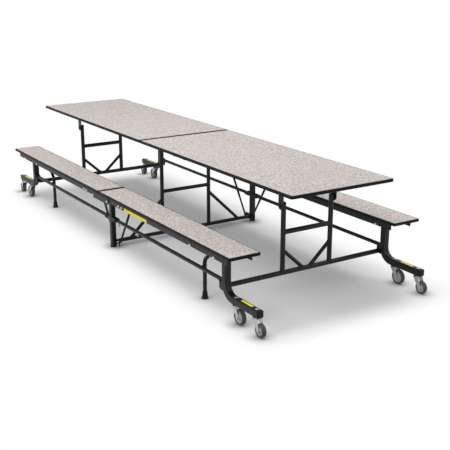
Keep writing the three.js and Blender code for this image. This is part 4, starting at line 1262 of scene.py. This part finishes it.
def fasten(name, tree, lengths, spots, body, slot, finish):
    """One mesh of like fasteners for a body. Spots are pairs of a place and the way it faces."""
    points = bpy.data.meshes.new(name)
    points.from_pydata([tuple(place) for place, _ in spots], [], [])
    facing = points.attributes.new("facing", "FLOAT_VECTOR", "POINT")
    facing.data.foreach_set("vector", [value for _, way in spots for value in way])
    holder = bpy.data.objects.new(f"{name}_points", points)
    bpy.context.scene.collection.objects.link(holder)
    maker = holder.modifiers.new(tree.name, "NODES")
    maker.node_group = tree
    for item in tree.interface.items_tree:
        if item.in_out == "INPUT" and item.name in lengths:
            maker[item.identifier] = lengths[item.name]
        elif item.in_out == "INPUT" and item.name == "Finish":
            maker[item.identifier] = finish
    mesh = evaluated(holder)
    bpy.data.objects.remove(holder)
    made = piece(name, mesh, body, slot, finish)
    rounding = made.modifiers.new("rounding", "BEVEL")
    rounding.width = 0.5 * MM
    rounding.segments = 1
    rounding.limit_method = "ANGLE"
    return made


def across(spots, sides):
    """Spots of the near back side carried to other sides, each a pair of 1 or -1."""
    return [
        (Vector((p[0] * x, p[1] * y, p[2])), Vector((w[0] * x, w[1] * y, w[2])))
        for x, y in sides
        for p, w in spots
    ]


# Stage
def seen_ray(tree):
    """1 for rays that show the stage: from the camera, from gloss and through glass."""
    path = add_node(tree, "ShaderNodeLightPath")
    both = add_node(
        tree, "ShaderNodeMath", {0: path.outputs["Is Camera Ray"], 1: path.outputs["Is Glossy Ray"]},
        operation="MAXIMUM",
    )
    return add_node(
        tree, "ShaderNodeMath", {0: both.outputs["Value"], 1: path.outputs["Is Transmission Ray"]},
        operation="MAXIMUM",
    ).outputs["Value"]


def floor_finish(lift):
    """Matt white floor: shaded under the table, with a contact shadow painted by ambient occlusion where
    something stands, plain white further out.
    """
    finish = bpy.data.materials.new("matt_white_floor")
    finish.use_nodes = True
    tree = finish.node_tree
    tree.nodes.clear()
    seen = seen_ray(tree)
    # Painted shadow: ambient occlusion darkens the floor's white glow, and its lift, close to whatever stands
    # on it
    touch = add_node(tree, "ShaderNodeAmbientOcclusion", {"Distance": 90 * MM}, samples=4)
    painted_contact_shade = add_node(tree, "ShaderNodeMapRange", {
        "Value": touch.outputs["AO"], "From Min": 0.58, "From Max": 0.96, "To Min": 0.1, "To Max": 1.0,
    })
    pale = add_node(tree, "ShaderNodeMath", {0: seen, 1: painted_contact_shade.outputs["Result"]}, operation="MULTIPLY")
    matt = add_node(tree, "ShaderNodeBsdfDiffuse", {"Color": FLOOR_GREY})
    raised = add_node(tree, "ShaderNodeMath", {0: pale.outputs["Value"], 1: lift}, operation="MULTIPLY")
    glow = add_node(tree, "ShaderNodeEmission", {"Strength": raised.outputs["Value"]})
    near = add_node(tree, "ShaderNodeAddShader", {0: matt.outputs["BSDF"], 1: glow.outputs["Emission"]})
    white = add_node(tree, "ShaderNodeEmission", {"Strength": pale.outputs["Value"]})
    place = add_node(tree, "ShaderNodeTexCoord").outputs["Object"]
    parts = add_node(tree, "ShaderNodeSeparateXYZ", {"Vector": place})
    shade = None
    for axis, outside, inside in SHADOW_EDGES:
        fade = add_node(
            tree, "ShaderNodeMapRange",
            {"Value": parts.outputs[axis], "From Min": outside, "From Max": inside},
            interpolation_type="SMOOTHSTEP",
        )
        level = fade.outputs["Result"]
        if shade:
            both = add_node(tree, "ShaderNodeMath", {0: shade, 1: level}, operation="MULTIPLY")
            level = both.outputs["Value"]
        shade = level
    mixed = add_node(tree, "ShaderNodeMixShader", {
        0: shade, 1: white.outputs["Emission"], 2: near.outputs["Shader"],
    })
    add_node(tree, "ShaderNodeOutputMaterial", {"Surface": mixed.outputs["Shader"]})
    return finish


def even_sky(strength):
    """World that is white where it is seen and gives an even light."""
    world = bpy.data.worlds.new("even_sky")
    world.use_nodes = True
    tree = world.node_tree
    tree.nodes.clear()
    level = add_node(
        tree, "ShaderNodeMapRange", {"Value": seen_ray(tree), "To Min": strength, "To Max": 1.0},
    )
    sky = add_node(
        tree, "ShaderNodeBackground", {"Color": (1.0, 1.0, 1.0, 1.0), "Strength": level.outputs["Result"]},
    )
    add_node(tree, "ShaderNodeOutputWorld", {"Surface": sky.outputs["Background"]})
    return world


# Steps that a user runs
class BENCHTABLE_OT_finishes(bpy.types.Operator):
    """Make the finishes"""

    bl_idname = "bench_table.finishes"
    bl_label = "Finishes"

    def execute(self, context):
        make_finishes(context.scene.bench_table.finishes)
        return {"FINISHED"}


class BENCHTABLE_OT_panels(bpy.types.Operator):
    """Make the table top's and the seats' halves with their edge bands"""

    bl_idname = "bench_table.panels"
    bl_label = "Panels"

    def execute(self, context):
        panels = context.scene.bench_table.panels
        table_sides = [(half, x, 1) for half, x in HALVES.items()]
        kinds = (
            ("table_top", "table_edge", "", panels.table_corner, table_sides),
            ("bench_seat", "bench_edge", "back_", panels.seat_corner, SIDES),
        )
        for core_name, band_name, first, corner, sides in kinds:
            core_node, band_node = f"{core_name}_{first}near", f"{band_name}_{first}near"
            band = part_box(core_node)[0].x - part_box(band_node)[0].x
            core = panel_core(core_node, panels.seam_corner, corner, band, FINISH[core_name])
            edge = panel_band(band_node, panels.seam_corner, corner, band, panels.edge_round)
            seam = seam_lip(core_node, panels.lip)
            for side, x, y in sides:
                stand_for(f"{core_name}_{side}", on_side(core, x, y))
                stand_for(f"{band_name}_{side}", on_side(edge, x, y), FINISH["edge"])
                lip, body = on_side(seam, x, y), BODY[f"{band_name}_{side}"]
                piece(f"seam_lip_{core_name}_{side}", lip, body, "edge_band", FINISH["edge"])
        return {"FINISHED"}


class BENCHTABLE_OT_frames(bpy.types.Operator):
    """Make the underframes, the end frames and the centre frame"""

    bl_idname = "bench_table.frames"
    bl_label = "Frames"

    def execute(self, context):
        settings = context.scene.bench_table
        frames, tubes = settings.frames, settings.tubes
        under, end = table_underframe(frames, tubes), end_frame(frames, tubes)
        for half, x in HALVES.items():
            stand_for(f"table_underframe_{half}", on_side(under, x, 1), FINISH["coat"])
            stand_for(f"end_frame_{half}", on_side(end, x, 1), FINISH["coat"])
        centre = centre_frame(frames, tubes, settings.benches)
        stand_for("centre_frame", centre, FINISH["coat"])
        glide = centre_glide()
        for bench, y in BENCHES.items():
            stand_for(f"centre_glide_{bench}", on_side(glide, 1, y), FINISH["plastic"])
        return {"FINISHED"}


class BENCHTABLE_OT_posts(bpy.types.Operator):
    """Make the bent caster posts and the caps on their feet"""

    bl_idname = "bench_table.posts"
    bl_label = "Caster posts"

    def execute(self, context):
        settings = context.scene.bench_table
        post = caster_post(settings.posts, settings.frames, settings.tubes, settings.benches)
        cap = foot_cap(settings.posts)
        for side, x, y in SIDES:
            node = f"caster_post_{side}"
            stand_for(node, on_side(post, x, y), FINISH["coat"])
            piece(f"foot_cap_{side}", on_side(cap, x, y), BODY[node], "black_plastic", FINISH["plastic"])
        return {"FINISHED"}


class BENCHTABLE_OT_casters(bpy.types.Operator):
    """Make the swivel casters"""

    bl_idname = "bench_table.casters"
    bl_label = "Casters"

    def execute(self, context):
        settings = context.scene.bench_table
        casters = settings.casters
        for stem in STEMS:
            axle = PIVOT[f"roll_back_near_{stem}"]
            fork = caster_fork(PIVOT[f"swivel_back_near_{stem}"], axle, casters, settings.posts)
            tyre, hub = caster_wheel(axle, casters)
            for side, x, y in SIDES:
                name = f"{side}_{stem}"
                wheel = f"caster_wheel_{name}"
                stand_for(f"caster_fork_{name}", on_side(fork, x, y), FINISH["zinc"])
                stand_for(wheel, on_side(tyre, x, y))
                piece(f"wheel_hub_{name}", on_side(hub, x, y), BODY[wheel], "zinc_steel")
        return {"FINISHED"}


class BENCHTABLE_OT_benches(bpy.types.Operator):
    """Make the bench rails, lower rails, lift struts and support legs"""

    bl_idname = "bench_table.benches"
    bl_label = "Benches"

    def execute(self, context):
        settings = context.scene.bench_table
        benches, tubes = settings.benches, settings.tubes
        sleeve, shaft = strut_sleeve(benches, tubes), strut_rod(benches, tubes)
        for bench, y in BENCHES.items():
            supported = bench == "front"
            steel = {
                "bench_rail": bench_rail(benches, tubes, supported),
                "lower_rail": lower_rail(tubes, supported),
                "strut_sleeve": sleeve,
                "strut_rod": shaft,
            }
            for half, x in HALVES.items():
                for node, mesh in steel.items():
                    stand_for(f"{node}_{bench}_{half}", on_side(mesh, x, y), FINISH["coat"])
        leg, foot = support_leg(benches, tubes), support_foot(benches, tubes)
        for half, x in HALVES.items():
            stand_for(f"support_leg_{half}", on_side(leg, x, -1), FINISH["coat"])
            stand_for(f"support_foot_{half}", on_side(foot, x, -1), FINISH["plastic"])
        return {"FINISHED"}


class BENCHTABLE_OT_hardware(bpy.types.Operator):
    """Put on the bolts and screws"""

    bl_idname = "bench_table.hardware"
    bl_label = "Hardware"

    def execute(self, context):
        settings = context.scene.bench_table
        hardware, benches, frames = settings.hardware, settings.benches, settings.frames
        tubes = settings.tubes
        bolts, screws = hexagon_bolts(), pan_screws()
        bolt = {
            "Corner": hardware.flats / math.sqrt(3), "Head": hardware.head,
            "Washer": hardware.washer / 2, "Thickness": hardware.washer_thick,
        }
        screw = {"Radius": hardware.screw / 2, "Rise": hardware.screw_rise}
        out, down = Vector((0, 1, 0)), Vector((0, 0, -1))
        flange = BENCH_Y + benches.rail / 2
        inner_flange = BENCH_Y - benches.rail / 2 - tubes.play
        yoke_face = flange + tubes.play + frames.bench_head
        lug_face = BENCH_Y + tubes.lower_rail / 2 + tubes.play + frames.lug
        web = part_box("bench_rail_back_near")[1].z - benches.wall
        seat_screws = [((x, BENCH_Y + line, web), down) for x in SEAT_SCREWS for line in SEAT_SCREW_LINES]
        for side, x, y in SIDES:
            body, half = BODY[f"bench_rail_{side}"], side.split("_")[1]
            spots = [((place, flange, BENCH_PIVOT.z + FLANGE_BOLT_RISE), out) for place in FLANGE_BOLTS[half]]
            if y < 0:
                spots.append(((SUPPORT_PIVOT.x, flange, BENCH_PIVOT.z), out))
            spots = across(spots, [(x, y)])
            fasten(f"rail_bolts_{side}", bolts, bolt, spots, body, "zinc_steel", FINISH["bolt"])
            spots = across(seat_screws, [(x, y)])
            fasten(f"seat_screws_{side}", screws, screw, spots, body, "black_steel", FINISH["coat"])
        post_spots = [
            ((BENCH_PIVOT.x, flange + tubes.play, BENCH_PIVOT.z), out),
            ((BENCH_PIVOT.x, inner_flange, BENCH_PIVOT.z), -out),
        ]
        table_face = frames.end_leg + tubes.end_tube / 2 + frames.bracket + 2 * tubes.play
        black_spots = [
            ((END_PIVOT.x, table_face, END_PIVOT.z), out),
            ((RAIL_PIVOT.x, lug_face, RAIL_PIVOT.z), out),
        ]
        for half, x in HALVES.items():
            body, sides = f"end_frame_{half}", [(x, y) for y in BENCHES.values()]
            spots = across(post_spots, sides)
            fasten(f"post_bolts_{half}", bolts, bolt, spots, body, "zinc_steel", FINISH["bolt"])
            spots = across(black_spots, sides)
            fasten(f"end_frame_bolts_{half}", bolts, bolt, spots, body, "black_steel", FINISH["coat"])
        centre_face = frames.hinge_line + frames.hinge / 2 + frames.bracket + 2 * tubes.play
        foot_face = BENCH_Y - frames.bench_leg_y / 2 + STRUT_PLATE_HALF
        bench_spots = [
            ((BENCH_CENTRE_X, yoke_face, BENCH_PIVOT.z), out),
            ((benches.strut_foot_x, foot_face, benches.strut_foot_z), out),
            ((benches.strut_foot_x, foot_face, benches.strut_foot_z - LOWER_FOOT_BOLT), out),
        ]
        spots = across(bench_spots, ALL_SIDES)
        slope = tubes.leg / 2 * math.sqrt(0.5)
        spots.append(((slope, LOW_BAR_BOLT_Y, frames.centre_low + slope), Vector((1, 0, 1)).normalized()))
        fasten("centre_bench_bolts", bolts, bolt, spots, "centre_frame", "zinc_steel", FINISH["bolt"])
        black_spots = [
            ((CENTRE_PIVOT.x, centre_face, CENTRE_PIVOT.z), out),
            ((BENCH_CENTRE_X - RAIL_IN, lug_face, RAIL_PIVOT.z), out),
        ]
        spots = across(black_spots, ALL_SIDES)
        fasten("centre_black_bolts", bolts, bolt, spots, "centre_frame", "black_steel", FINISH["coat"])
        low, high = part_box("table_underframe_near")
        rail_low, line = high.z - frames.side_rail_depth, high.y - frames.side_rail / 2
        top_screws = [
            ((low.x + (high.x - low.x) * (i + 0.5) / TOP_SCREWS, line, rail_low), down)
            for i in range(TOP_SCREWS)
        ]
        for half, x in HALVES.items():
            spots = across(top_screws, [(x, y) for y in BENCHES.values()])
            fasten(f"top_screws_{half}", screws, screw, spots, f"table_{half}", "black_steel", FINISH["coat"])
        return {"FINISHED"}


class BENCHTABLE_OT_strips(bpy.types.Operator):
    """Put the plain yellow strips on the feet and the near front rail"""

    bl_idname = "bench_table.strips"
    bl_label = "Strips"

    def execute(self, context):
        settings = context.scene.bench_table
        thick = settings.hardware.strip
        face = BENCH_Y + settings.benches.rail / 2
        rail = prism(rounded_rectangle(*RAIL_STRIP, 3 * MM), "Y", face, face + thick)
        piece("rail_strip", on_side(rail, 1, -1), "bench_front_near", None, FINISH["strip"])
        foot_top = settings.posts.caster_height + settings.posts.tube
        strip = prism(rounded_rectangle(*FOOT_STRIP, 2 * MM), "Z", foot_top, foot_top + thick)
        for side, x, y in SIDES:
            body = BODY[f"caster_post_{side}"]
            piece(f"foot_strip_{side}", on_side(strip, x, y), body, None, FINISH["strip"])
        return {"FINISHED"}


class BENCHTABLE_OT_stage(bpy.types.Operator):
    """Make the floor, the light and the camera"""

    bl_idname = "bench_table.stage"
    bl_label = "Stage"

    def execute(self, context):
        stage, scene = context.scene.bench_table.stage, context.scene
        disc = prism(circle(FLOOR_RADIUS, 64), "Z", -20 * MM, -0.5 * MM)
        floor = bpy.data.objects.new("floor", disc)
        scene.collection.objects.link(floor)
        floor.data.materials.append(floor_finish(stage.lift))
        # Name, power, sides and place in metres
        lamps = (
            ("overhead_lamp", stage.lamp, (4.2, 3.0), (0.1, -1.2, 4.4)),
            ("back_lamp", stage.back_lamp, (2.0, 1.4), (3.4, 3.2, 3.6)),
            ("front_fill", stage.fill, (3.0, 2.0), (2.2, -6.0, 2.2)),
        )
        for name, power, sides, place in lamps:
            lamp = bpy.data.lights.new(name, "AREA")
            lamp.shape = "RECTANGLE"
            lamp.size, lamp.size_y = sides
            lamp.energy = power
            holder = bpy.data.objects.new(name, lamp)
            holder.location = place
            holder.rotation_mode = "QUATERNION"
            holder.rotation_quaternion = (LAMP_AIM - holder.location).to_track_quat("-Z", "Y")
            scene.collection.objects.link(holder)
        scene.world = even_sky(stage.sky)
        camera = bpy.data.objects.new("camera", bpy.data.cameras.new("camera"))
        camera.data.lens = stage.lens
        camera.data.sensor_width = 36.0
        turn, rise = math.radians(stage.azimuth), math.radians(stage.elevation)
        back = Vector((math.sin(turn) * math.cos(rise), -math.cos(turn) * math.cos(rise), math.sin(rise)))
        camera.location = (stage.camera_x, -stage.camera_y, stage.camera_z)
        camera.rotation_mode = "QUATERNION"
        camera.rotation_quaternion = (-back).to_track_quat("-Z", "Y")
        scene.collection.objects.link(camera)
        scene.camera = camera
        scene.view_settings.view_transform = "Standard"
        return {"FINISHED"}


STEPS = ("finishes", "panels", "frames", "posts", "casters", "benches", "hardware", "strips", "stage")


class BENCHTABLE_PT_sidebar(bpy.types.Panel):
    """Steps that make the bench table"""

    bl_label = "Bench table"
    bl_idname = "BENCHTABLE_PT_sidebar"
    bl_space_type = "VIEW_3D"
    bl_region_type = "UI"
    bl_category = "Bench table"

    def draw(self, context):
        for step in STEPS:
            self.layout.operator(f"bench_table.{step}")


CLASSES = (
    PanelSizes, TubeSizes, FrameSizes, PostSizes, CasterSizes, BenchSizes, HardwareSizes, FinishColours,
    StageSettings, BenchTableSettings, BENCHTABLE_OT_finishes, BENCHTABLE_OT_panels, BENCHTABLE_OT_frames,
    BENCHTABLE_OT_posts, BENCHTABLE_OT_casters, BENCHTABLE_OT_benches, BENCHTABLE_OT_hardware,
    BENCHTABLE_OT_strips, BENCHTABLE_OT_stage, BENCHTABLE_PT_sidebar,
)


def register():
    """Register the classes and the settings."""
    for cls in CLASSES:
        bpy.utils.register_class(cls)
    bpy.types.Scene.bench_table = bpy.props.PointerProperty(type=BenchTableSettings)


def unregister():
    """Take the settings and the classes away again."""
    del bpy.types.Scene.bench_table
    for cls in reversed(CLASSES):
        bpy.utils.unregister_class(cls)


def main():
    """Make the whole table."""
    register()
    for step in STEPS:
        getattr(bpy.ops.bench_table, step)()
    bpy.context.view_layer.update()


if __name__ == "__main__":
    main()
